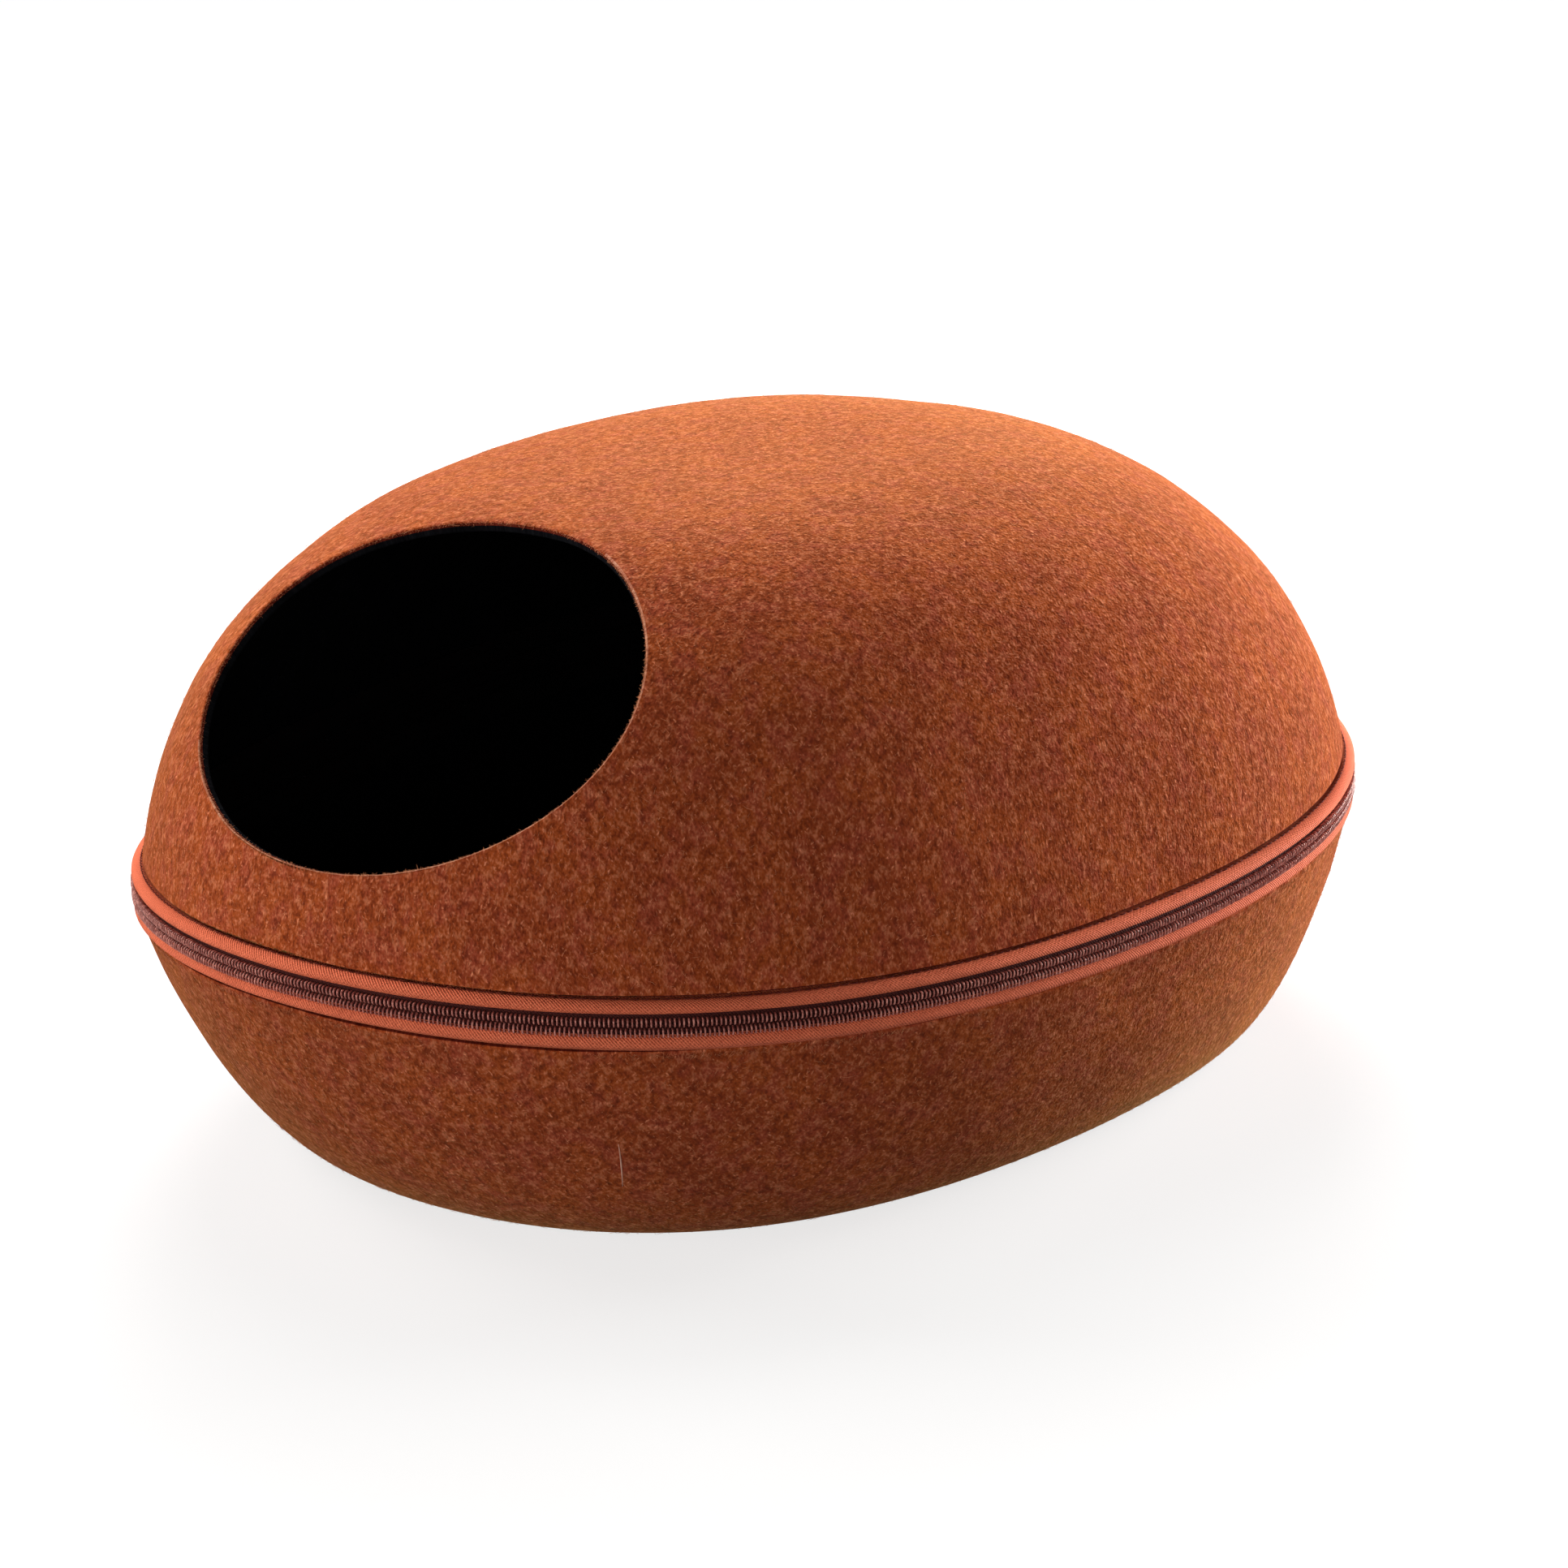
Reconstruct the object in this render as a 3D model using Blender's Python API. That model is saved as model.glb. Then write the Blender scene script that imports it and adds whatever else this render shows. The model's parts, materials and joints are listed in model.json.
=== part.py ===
"""Felt cat cave: an egg on its side, in two moulded halves joined by a zip all round the rim.

The dome has one oval entrance at its front end, towards -Y. The bowl stands on a flat base at
z = 0. The zip's slider is parked at the back end, towards +Y. Units are metres.
"""

import math

import bmesh
import bpy
import numpy as np

# The plan of the rim, measured over the zip
LENGTH = 0.480
BREADTH = 0.395  # halfway along
BACK_FULLNESS = 0.13  # share of extra breadth at the back, and of lost breadth at the front
END_FULLNESS = 0.21  # share of extra breadth at both ends

# The zip line
SEAM_HEIGHT = 0.0967
SEAM_BOW = 0.0055  # rise at the two ends, and drop at the two sides

# The felt
FELT = 0.004
DOME_RISE = 0.1326  # from the zip line to the crown
DOME_INSET = 0.0039  # the dome's wall stands this far inside the zip
DOME_EDGE = 0.0086  # the dome's felt ends this far above the zip line
CROWN_POWER = 3.7  # flatness of the crown
SHOULDER_POWER = 1.73  # steepness of the wall
BOWL_OUTSET = 0.0003
BOWL_EDGE = 0.0101  # the bowl's felt ends this far below the zip line
BASE_SHIFT = 0.070  # the base sits towards the back by this times the share it shrinks
BOWL_CURVE = (  # share of the rim's plan, share of the zip's height
    (1.00, 1.00),
    (0.96, 0.55),
    (0.86, 0.00),
    (0.79, 0.00),
)

# The entrance, an ellipse carried along a tilted axis and cut square to the felt
ENTRANCE_HALF_WIDTH = 0.0875
ENTRANCE_HALF_HEIGHT = 0.0627
ENTRANCE_CENTRE = (0.0, -0.190, 0.191)
ENTRANCE_TILT = math.radians(20.9)

# The zip: sections as (outwards from the rim's plan, upwards from the zip line)
TAPE = 0.001
UPPER_TAPE_LINE = (
    (-0.0019, 0.0003),
    (-0.0019, 0.0034),
    (-0.0006, 0.0038),
    (0.0000, 0.0051),
    (-0.0009, 0.0067),
    (-0.0034, 0.0078),
)
LOWER_TAPE_LINE = (
    (-0.0019, -0.0003),
    (-0.0019, -0.0034),
    (-0.0006, -0.0040),
    (-0.0003, -0.0056),
    (-0.0009, -0.0078),
    (-0.0022, -0.0093),
)
UPPER_FLAP = (0.0072, 0.0170)  # from the zip line to both ends of the flap inside the felt
LOWER_FLAP = (-0.0079, -0.0172)
FLAP_GAP = 0.0006
COIL_SECTION = (
    (-0.0015, 0.0003),
    (-0.0001, 0.0003),
    (0.0003, 0.0009),
    (0.0003, 0.0026),
    (-0.0001, 0.0031),
    (-0.0015, 0.0031),
)
SLIDER_LENGTH = 0.011
SLIDER_WIDTH = 0.0086
SLIDER_PLATE = 0.0012
SLIDER_STANDOFF = 0.0007  # from the rim's plan to the back of the slider's plate
BRIDGE_SPAN = 0.008
BRIDGE_WIDTH = 0.0024
BRIDGE_BAR = 0.0010
BRIDGE_RISE = 0.0018  # free height under the bridge
PULL_LENGTH = 0.028
PULL_WIDTH = 0.0066
PULL_THICKNESS = 0.0010
PULL_SLOT = (0.0046, 0.0040)
PULL_BAR = 0.0015

# How finely the curved faces are divided
ROUND_STEPS = 72
DOME_ROWS = 12
BOWL_ROWS = 8
EDGE_ROW = 0.03  # the last row's share of the dome's and the bowl's wall, beside the zip
BASE_RINGS = (0.5,)
BISECTIONS = 40
CURVE_SAMPLES = 400

COLOURS = {
    "rust_felt": ((0.42, 0.115, 0.040, 1.0), 0.95),
    "rust_tape": ((0.47, 0.105, 0.055, 1.0), 0.80),
    "coil_nylon": ((0.060, 0.024, 0.022, 1.0), 0.35),
    "slider_metal": ((0.060, 0.045, 0.040, 1.0), 0.40),
}


def clear_scene():
    for obj in list(bpy.data.objects):
        bpy.data.objects.remove(obj, do_unlink=True)


def material(name):
    colour, roughness = COLOURS[name]
    made = bpy.data.materials.get(name) or bpy.data.materials.new(name)
    made.use_nodes = True
    shader = made.node_tree.nodes["Principled BSDF"]
    shader.inputs["Base Color"].default_value = colour
    shader.inputs["Roughness"].default_value = roughness
    shader.inputs["Metallic"].default_value = 1.0 if name == "slider_metal" else 0.0
    return made


def add_object(name, mesh, material_name):
    mesh.materials.append(material(material_name))
    obj = bpy.data.objects.new(name, mesh)
    bpy.context.scene.collection.objects.link(obj)
    return obj


def add_modifier(obj, kind, **settings):
    modifier = obj.modifiers.new(kind.title(), kind)
    for key, value in settings.items():
        setattr(modifier, key, value)
    return modifier


def round_angles():
    """Angles from the back end, +Y, round by the +X side."""
    return np.linspace(0.0, 2.0 * math.pi, ROUND_STEPS, endpoint=False)


def half_breadth(along):
    """The rim's half breadth, where along runs from -1 at the front to 1 at the back."""
    return BREADTH / 2.0 * (1.0 + BACK_FULLNESS * along + END_FULLNESS * along**2)


def rim_plan(angles):
    """The rim over the zip: an ellipse whose breadth follows half_breadth."""
    along = np.cos(angles)
    return np.stack([half_breadth(along) * np.sin(angles), LENGTH / 2.0 * along], axis=-1)


def rim_outwards(angles):
    """Unit vectors square to the rim's plan."""
    step = 1e-4
    ahead = rim_plan(angles + step) - rim_plan(angles - step)
    normals = np.stack([-ahead[:, 1], ahead[:, 0]], axis=-1)
    return normals / np.linalg.norm(normals, axis=1, keepdims=True)


def seam_height(angles):
    return SEAM_HEIGHT + SEAM_BOW * np.cos(2.0 * angles)


def dome_height(across, along):
    """Height of the dome over a point of the unit disc that its plan is stretched from."""
    share = np.minimum(np.hypot(across, along), 1.0)
    rise = (1.0 - share**CROWN_POWER) ** (1.0 / SHOULDER_POWER)
    return SEAM_HEIGHT + SEAM_BOW * (along**2 - across**2) + DOME_RISE * rise


def dome_points(flat):
    """Points of the dome from flat felt coordinates.

    The distance from the flat sheet's middle gives an angle up the wall, which is a right
    angle at the crown and nothing at the rim, so that even steps on the sheet are nearly
    even steps on the dome.
    """
    reach = np.maximum(np.linalg.norm(flat, axis=-1), 1e-9)
    up_wall = math.pi / 2.0 * (1.0 - reach ** (CROWN_POWER / 2.0))
    share = np.cos(up_wall) ** (2.0 / CROWN_POWER)
    across, along = flat[..., 0] * share / reach, flat[..., 1] * share / reach
    x = (half_breadth(along) - DOME_INSET) * across
    y = (LENGTH / 2.0 - DOME_INSET) * along
    return np.stack([x, y, dome_height(across, along)], axis=-1)


def flat_felt(points):
    """The flat felt coordinates under points of the dome."""
    along = points[:, 1] / (LENGTH / 2.0 - DOME_INSET)
    across = points[:, 0] / (half_breadth(along) - DOME_INSET)
    share = np.hypot(across, along)
    up_wall = np.arccos(share ** (CROWN_POWER / 2.0))
    reach = (1.0 - up_wall / (math.pi / 2.0)) ** (2.0 / CROWN_POWER)
    return np.stack([across, along], axis=-1) * (reach / share)[:, None]


def under_dome(points):
    """Whether each point is inside the dome."""
    along = points[:, 1] / (LENGTH / 2.0 - DOME_INSET)
    across = points[:, 0] / (half_breadth(along) - DOME_INSET)
    inside = np.hypot(across, along) < 1.0
    return inside & (points[:, 2] < dome_height(across, along))


def entrance_edge():
    """Where the tilted ellipse meets the dome, by halving the way along its axis."""
    angles = round_angles()
    axis = np.array([0.0, -math.cos(ENTRANCE_TILT), math.sin(ENTRANCE_TILT)])
    upright = np.array([0.0, math.sin(ENTRANCE_TILT), math.cos(ENTRANCE_TILT)])
    oval = np.array(ENTRANCE_CENTRE) + ENTRANCE_HALF_HEIGHT * np.cos(angles)[:, None] * upright
    oval[:, 0] += ENTRANCE_HALF_WIDTH * np.sin(angles)
    near = np.full(ROUND_STEPS, -LENGTH / 4.0)
    far = np.full(ROUND_STEPS, LENGTH / 2.0)
    for _ in range(BISECTIONS):
        middle = (near + far) / 2.0
        inside = under_dome(oval + middle[:, None] * axis)
        near = np.where(inside, middle, near)
        far = np.where(inside, far, middle)
    return oval + near[:, None] * axis


def bowl_curve(steps):
    """The cubic curve of the bowl's wall: its share of the plan and of the zip's height."""
    steps = steps[:, None]
    start, first, second, end = (np.array(point) for point in BOWL_CURVE)
    left = 1.0 - steps
    return left**3 * start + 3 * left**2 * steps * first + 3 * left * steps**2 * second + steps**3 * end


def curve_step_at_depth(depth):
    """How far along the bowl's curve its wall is a depth below the zip line."""
    fine = np.linspace(0.0, 1.0, CURVE_SAMPLES)
    return np.interp(depth / SEAM_HEIGHT, 1.0 - bowl_curve(fine)[:, 1], fine)


def bowl_ring(share, height, shrink=1.0):
    """A ring of the bowl at a share of the rim's plan and of the zip line's height."""
    angles = round_angles()
    ring = (rim_plan(angles) + BOWL_OUTSET * rim_outwards(angles)) * share * shrink
    ring[:, 1] += BASE_SHIFT * (1.0 - share)
    return np.column_stack([ring, height * seam_height(angles)])


def bowl_rings():
    """Rings of points from the bowl's edge down its wall and in across the base."""
    edge = curve_step_at_depth(BOWL_EDGE)
    steps = np.append(edge, np.linspace(edge + EDGE_ROW, 1.0, BOWL_ROWS))
    wall = [bowl_ring(share, height) for share, height in bowl_curve(steps)]
    return wall + [bowl_ring(*BOWL_CURVE[-1], shrink) for shrink in BASE_RINGS]


def dome_reach(upwards):
    """The distance from the flat felt's middle at which the dome is this far above the zip line."""
    up_wall = math.asin((upwards / DOME_RISE) ** (SHOULDER_POWER / 2.0))
    return (1.0 - up_wall / (math.pi / 2.0)) ** (2.0 / CROWN_POWER)


def felt_ring(upwards):
    """A ring of the felt's outer face, a height above or below the zip line."""
    if upwards > 0.0:
        angles = round_angles()
        reach = dome_reach(max(upwards, DOME_EDGE))
        return dome_points(reach * np.stack([np.sin(angles), np.cos(angles)], axis=-1))
    step = curve_step_at_depth(max(-upwards, BOWL_EDGE))
    return bowl_ring(*bowl_curve(np.array([step]))[0])


def tape_section(line, flap):
    """The tape's outer face at each angle, from the zip line out, round and in under its felt."""
    angles = round_angles()
    section = [np.full((ROUND_STEPS, 2), point) for point in line]
    for upwards in flap:
        felt = felt_ring(upwards)[:, :2] - rim_plan(angles)
        outwards = (felt * rim_outwards(angles)).sum(axis=1) - FELT - FLAP_GAP
        section.append(np.column_stack([outwards, np.full(ROUND_STEPS, upwards)]))
    return np.stack(section)


def thick_section(line, thickness, side):
    """A closed section: a line, and its copy moved square to it by a thickness."""
    ahead = np.diff(line, axis=0)
    ahead /= np.linalg.norm(ahead, axis=-1, keepdims=True)
    square = side * np.stack([-ahead[..., 1], ahead[..., 0]], axis=-1)
    corners = np.concatenate([square[:1], (square[:-1] + square[1:]) / 2.0, square[-1:]])
    corners /= (corners**2).sum(axis=-1, keepdims=True)
    return np.concatenate([line, (line + thickness * corners)[::-1]])


def band_ring(offsets):
    """A ring alongside the zip line, by distances outwards and upwards."""
    angles = round_angles()
    plan = rim_plan(angles) + offsets[:, :1] * rim_outwards(angles)
    return np.column_stack([plan, seam_height(angles) + offsets[:, 1]])


def ring_faces(first, second):
    """Quads between two rings of vertices."""
    count = len(first)
    return [
        (first[i], first[(i + 1) % count], second[(i + 1) % count], second[i])
        for i in range(count)
    ]


def mesh_from_rings(name, rings, closed_section, middle=None):
    """A mesh through rings of points, which closes on itself or on a middle point."""
    mesh = bpy.data.meshes.new(name)
    bm = bmesh.new()
    rows = [[bm.verts.new(point) for point in ring] for ring in rings]
    pairs = list(zip(rows, rows[1:]))
    if closed_section:
        pairs.append((rows[-1], rows[0]))
    for first, second in pairs:
        for face in ring_faces(first, second):
            bm.faces.new(face)
    if middle is not None:
        centre = bm.verts.new(middle)
        last = rows[-1]
        for i, vert in enumerate(last):
            bm.faces.new((vert, last[(i + 1) % len(last)], centre))
    bmesh.ops.recalc_face_normals(bm, faces=bm.faces)
    bm.to_mesh(mesh)
    bm.free()
    mesh.shade_smooth()
    mesh.set_sharp_from_angle(angle=math.radians(40.0))
    return mesh


def face_outwards(mesh):
    """Turn an open shell's faces so that they look away from its middle."""
    middle = np.mean([vert.co for vert in mesh.vertices], axis=0)
    away = sum(
        face.area * float(np.dot(face.normal, np.array(face.center) - middle))
        for face in mesh.polygons
    )
    if away < 0.0:
        mesh.flip_normals()


def build_upper_shell():
    """The dome, as a ring-shaped sheet of felt between the entrance and the rim."""
    angles = round_angles()
    entrance = flat_felt(entrance_edge())
    rim = dome_reach(DOME_EDGE) * np.stack([np.sin(angles), np.cos(angles)], axis=-1)
    shares = np.append(np.linspace(0.0, 1.0 - EDGE_ROW, DOME_ROWS), 1.0)
    rings = [dome_points((1.0 - share) * entrance + share * rim) for share in shares]
    mesh = mesh_from_rings("upper_shell", rings, closed_section=False)
    face_outwards(mesh)
    shell = add_object("upper_shell", mesh, "rust_felt")
    add_modifier(shell, "SOLIDIFY", thickness=FELT, offset=-1.0, use_even_offset=True)


def build_lower_shell():
    """The bowl, as one pressed sheet of felt with a flat base."""
    rings = bowl_rings()
    middle = rings[-1].mean(axis=0)
    mesh = mesh_from_rings("lower_shell", rings, closed_section=False, middle=middle)
    face_outwards(mesh)
    shell = add_object("lower_shell", mesh, "rust_felt")
    add_modifier(shell, "SOLIDIFY", thickness=FELT, offset=-1.0, use_even_offset=True)


def build_band(name, section, material_name):
    rings = [band_ring(offsets) for offsets in section]
    add_object(name, mesh_from_rings(name, rings, closed_section=True), material_name)


def build_zip():
    """Two tapes, each turned in under its felt, and a row of coil on each."""
    for name, line, flap, side in (
        ("upper_tape", UPPER_TAPE_LINE, UPPER_FLAP, 1.0),
        ("lower_tape", LOWER_TAPE_LINE, LOWER_FLAP, -1.0),
    ):
        build_band(name, thick_section(tape_section(line, flap), TAPE, side), "rust_tape")
    coil = np.repeat(np.array(COIL_SECTION)[:, None, :], ROUND_STEPS, axis=1)
    build_band("upper_coil", coil, "coil_nylon")
    build_band("lower_coil", coil * (1.0, -1.0), "coil_nylon")


def add_block(name, size, centre, bevel=0.0):
    """A metal box, with the corners of its outline rounded where a bevel is given."""
    mesh = bpy.data.meshes.new(name)
    bm = bmesh.new()
    bmesh.ops.create_cube(bm, size=1.0)
    bmesh.ops.scale(bm, vec=size, verts=bm.verts)
    bmesh.ops.translate(bm, vec=centre, verts=bm.verts)
    if bevel:
        corners = [e for e in bm.edges if abs(e.verts[0].co.y - e.verts[1].co.y) > size[1] / 2]
        bmesh.ops.bevel(bm, geom=corners, offset=bevel, segments=4, affect="EDGES", profile=0.5)
    bm.to_mesh(mesh)
    bm.free()
    return add_object(name, mesh, "slider_metal")


def add_cutter(obj, operation, name, size, centre):
    """A hidden box that is joined to an object or cut out of it."""
    helper = add_block(name, size, centre)
    helper.hide_render = True
    helper.display_type = "WIRE"
    add_modifier(obj, "BOOLEAN", operation=operation, object=helper)


def build_slider():
    """The slider's plate and bridge, outside the coils at the back end."""
    back = LENGTH / 2.0 + SLIDER_STANDOFF
    height = SEAM_HEIGHT + SEAM_BOW
    plate_size = (SLIDER_LENGTH, SLIDER_PLATE, SLIDER_WIDTH)
    plate = add_block("zip_slider", plate_size, (0.0, back + SLIDER_PLATE / 2.0, height), 0.003)
    rise = BRIDGE_RISE + BRIDGE_BAR
    bridge_size = (BRIDGE_SPAN, rise + SLIDER_PLATE / 2.0, BRIDGE_WIDTH)
    bridge_centre = (0.0, back + (SLIDER_PLATE * 1.5 + rise) / 2.0, height)
    add_cutter(plate, "UNION", "bridge", bridge_size, bridge_centre)
    slot_size = (BRIDGE_SPAN - 2.0 * BRIDGE_BAR, BRIDGE_RISE, 2.0 * BRIDGE_WIDTH)
    slot_centre = (0.0, back + SLIDER_PLATE + BRIDGE_RISE / 2.0, height)
    add_cutter(plate, "DIFFERENCE", "bridge_slot", slot_size, slot_centre)


def build_pull():
    """The pull tab, whose top bar lies under the bridge and which lies along the zip."""
    middle = LENGTH / 2.0 + SLIDER_STANDOFF + SLIDER_PLATE + BRIDGE_RISE / 2.0
    height = SEAM_HEIGHT + SEAM_BOW
    left = BRIDGE_SPAN / 2.0 - 2.5 * BRIDGE_BAR
    centre = (left - PULL_LENGTH / 2.0, middle, height)
    pull = add_block("zip_pull", (PULL_LENGTH, PULL_THICKNESS, PULL_WIDTH), centre, 0.0016)
    slot_centre = (left - PULL_BAR - PULL_SLOT[0] / 2.0, middle, height)
    slot_size = (PULL_SLOT[0], 4.0 * PULL_THICKNESS, PULL_SLOT[1])
    add_cutter(pull, "DIFFERENCE", "pull_slot", slot_size, slot_centre)


def main():
    clear_scene()
    build_upper_shell()
    build_lower_shell()
    build_zip()
    build_slider()
    build_pull()


main()
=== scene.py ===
"""Felt cat cave, dressed: moulded felt, woven zip tapes, coil teeth, stitches and loose fibres.

Each shape is a surface of two parameters on a grid, or a short profile carried round the rim,
worked out as whole arrays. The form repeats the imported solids' own sizes, in metres.
"""

from __future__ import annotations

import json
import logging
import math
from dataclasses import dataclass
from enum import Enum
from typing import Any, Sequence

import bpy
import numpy as np
from mathutils import Matrix, Vector

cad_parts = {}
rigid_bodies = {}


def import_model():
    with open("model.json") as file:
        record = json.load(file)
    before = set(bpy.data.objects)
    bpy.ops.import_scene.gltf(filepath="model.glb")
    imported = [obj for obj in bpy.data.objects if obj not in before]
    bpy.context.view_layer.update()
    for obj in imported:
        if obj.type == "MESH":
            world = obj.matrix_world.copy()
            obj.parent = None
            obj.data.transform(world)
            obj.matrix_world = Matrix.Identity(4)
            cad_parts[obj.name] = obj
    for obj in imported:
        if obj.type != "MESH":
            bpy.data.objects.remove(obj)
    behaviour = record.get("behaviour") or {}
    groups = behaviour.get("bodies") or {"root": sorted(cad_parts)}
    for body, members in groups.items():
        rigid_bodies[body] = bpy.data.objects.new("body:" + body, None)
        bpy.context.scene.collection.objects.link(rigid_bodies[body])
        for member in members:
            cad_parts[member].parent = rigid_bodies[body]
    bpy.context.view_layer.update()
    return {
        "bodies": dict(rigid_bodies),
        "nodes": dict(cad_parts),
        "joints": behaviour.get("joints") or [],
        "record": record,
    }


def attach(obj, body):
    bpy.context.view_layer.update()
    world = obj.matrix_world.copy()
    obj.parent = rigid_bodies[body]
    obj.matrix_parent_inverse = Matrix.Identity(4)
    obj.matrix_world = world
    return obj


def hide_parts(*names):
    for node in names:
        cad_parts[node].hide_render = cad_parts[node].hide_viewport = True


Array = np.ndarray
LOG = logging.getLogger("cat_cave")
QUARTER_TURN = math.pi / 2.0
FULL_TURN = 2.0 * math.pi
CURVE_EASE = 0.8  # how strongly a tape's section leans on its corners' neighbours


class Slot(Enum):
    """The record's material slots."""

    FELT = "felt"
    TAPE = "zip_tape"
    COIL = "zip_coil"
    SLIDER = "slider"


class Half(Enum):
    """The two halves of the egg, with the way that each lies from the zip line."""

    UPPER = 1.0
    LOWER = -1.0


@dataclass(frozen=True)
class EggForm:
    """The egg's form: its rim's plan, its zip line, its dome, its bowl and its entrance."""

    length: float = 0.480
    breadth: float = 0.395
    back_fullness: float = 0.13
    end_fullness: float = 0.21
    seam: float = 0.0967
    seam_bow: float = 0.0055
    felt: float = 0.004
    dome_rise: float = 0.1326
    dome_inset: float = 0.0039
    dome_edge: float = 0.0080
    crown_power: float = 3.7
    shoulder_power: float = 1.73
    bowl_outset: float = 0.0003
    bowl_edge: float = 0.0101
    base_shift: float = 0.070
    bowl_curve: tuple[tuple[float, float], ...] = (
        # share of the rim's plan, share of the zip's height
        (1.00, 1.00), (0.96, 0.55), (0.86, 0.0), (0.79, 0.0))
    entrance_half_width: float = 0.0875
    entrance_half_height: float = 0.0627
    entrance_centre: tuple[float, float, float] = (0.0, -0.190, 0.191)
    entrance_tilt: float = math.radians(20.9)
    flat_scale: float = 0.30  # metres of felt for one unit of the flat coordinates

    def half_breadth(self, along: Array) -> Array:
        """Half the rim's breadth, with along from -1 at the front to 1 at the back."""
        fullness = 1.0 + self.back_fullness * along + self.end_fullness * along**2
        return self.breadth / 2.0 * fullness

    def rim_plan(self, angles: Array) -> Array:
        """The rim's plan: an ellipse whose breadth follows half_breadth, from +Y round by +X.

        Args:
            angles: round the rim, of any shape.

        Returns:
            Places in the plan, of that shape, ending in 2.
        """
        along = np.cos(angles)
        across = self.half_breadth(along) * np.sin(angles)
        return np.stack([across, self.length / 2.0 * along], axis=-1)

    def rim_outwards(self, angles: Array) -> Array:
        """Unit vectors square to the rim's plan: its direction of travel, turned outwards.

        Args:
            angles: round the rim.

        Returns:
            Vectors in the plan, of the same shape, ending in 2.
        """
        step = 1e-4
        ahead = self.rim_plan(angles + step) - self.rim_plan(angles - step)
        square = np.stack([-ahead[..., 1], ahead[..., 0]], axis=-1)
        return square / np.linalg.norm(square, axis=-1, keepdims=True)

    def seam_height(self, angles: Array) -> Array:
        """Height of the zip line: level, with a slow wave up at the ends and down at the sides."""
        return self.seam + self.seam_bow * np.cos(2.0 * angles)

    def dome_height(self, across: Array, along: Array) -> Array:
        """Height of the dome over a unit disc: rise times (1 - share^crown)^(1/shoulder).

        Args:
            across: shares of the plan's breadth.
            along: shares of its length.

        Returns:
            One height for each place.
        """
        share = np.minimum(np.hypot(across, along), 1.0)
        rise = (1.0 - share**self.crown_power) ** (1.0 / self.shoulder_power)
        return self.seam + self.seam_bow * (along**2 - across**2) + self.dome_rise * rise

    def dome(self, flat: Array) -> Array:
        """Points of the dome from flat felt coordinates.

        The distance from the flat sheet's middle gives an angle up the wall: a right angle at
        the crown, nothing at the rim. Its cosine gives the share of the plan.

        Args:
            flat: coordinates on the flat sheet, of any shape ending in 2.

        Returns:
            Points of the same shape, ending in 3.
        """
        reach = np.maximum(np.linalg.norm(flat, axis=-1), 1e-9)
        up_wall = QUARTER_TURN * (1.0 - np.minimum(reach, 1.0) ** (self.crown_power / 2.0))
        share = np.cos(up_wall) ** (2.0 / self.crown_power)
        across, along = flat[..., 0] * share / reach, flat[..., 1] * share / reach
        x = (self.half_breadth(along) - self.dome_inset) * across
        y = (self.length / 2.0 - self.dome_inset) * along
        return np.stack([x, y, self.dome_height(across, along)], axis=-1)

    def dome_normals(self, flat: Array) -> Array:
        """Outward unit vectors of the dome, from its slopes along both flat coordinates.

        Args:
            flat: coordinates on the flat sheet, ending in 2.

        Returns:
            Vectors of the same shape, ending in 3.
        """
        step = 1e-3
        east, north = np.array([step, 0.0]), np.array([0.0, step])
        return unit(np.cross(self.dome(flat + east) - self.dome(flat - east),
                             self.dome(flat + north) - self.dome(flat - north)))

    def dome_reach(self, upwards: float) -> float:
        """The flat distance from the middle at which the dome is this far above the zip line."""
        up_wall = math.asin((upwards / self.dome_rise) ** (self.shoulder_power / 2.0))
        return (1.0 - up_wall / QUARTER_TURN) ** (2.0 / self.crown_power)

    def plan_shares(self, points: Array) -> tuple[Array, Array]:
        """How far across and along the dome's plan points are, as shares of its reach."""
        along = points[:, 1] / (self.length / 2.0 - self.dome_inset)
        return points[:, 0] / (self.half_breadth(along) - self.dome_inset), along

    def flat_felt(self, points: Array) -> Array:
        """The flat felt coordinates under points of the dome: dome, worked backwards.

        Args:
            points: places on the dome, (n, 3).

        Returns:
            Flat coordinates, (n, 2).
        """
        across, along = self.plan_shares(points)
        share = np.hypot(across, along)
        up_wall = np.arccos(share ** (self.crown_power / 2.0))
        reach = (1.0 - up_wall / QUARTER_TURN) ** (2.0 / self.crown_power)
        return np.stack([across, along], axis=-1) * (reach / share)[:, None]

    def under_dome(self, points: Array) -> Array:
        """Whether each point is inside the dome.

        Args:
            points: places, (n, 3).

        Returns:
            True or false for each.
        """
        across, along = self.plan_shares(points)
        inside = np.hypot(across, along) < 1.0
        return inside & (points[:, 2] < self.dome_height(across, along))

    def entrance_edge(self, angles: Array) -> Array:
        """Where the tilted ellipse meets the dome, by halving the way along the ellipse's axis.

        Args:
            angles: round the ellipse, from its top by the right.

        Returns:
            Points on the dome, (n, 3).
        """
        axis = np.array([0.0, -math.cos(self.entrance_tilt), math.sin(self.entrance_tilt)])
        upright = np.array([0.0, math.sin(self.entrance_tilt), math.cos(self.entrance_tilt)])
        above = self.entrance_half_height * np.cos(angles)[:, None] * upright
        oval = np.array(self.entrance_centre) + above
        oval[:, 0] += self.entrance_half_width * np.sin(angles)
        near = np.full(len(angles), -self.length / 4.0)
        far = np.full(len(angles), self.length / 2.0)
        for _ in range(40):
            middle = (near + far) / 2.0
            inside = self.under_dome(oval + middle[:, None] * axis)
            near, far = np.where(inside, middle, near), np.where(inside, far, middle)
        return oval + near[:, None] * axis

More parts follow.
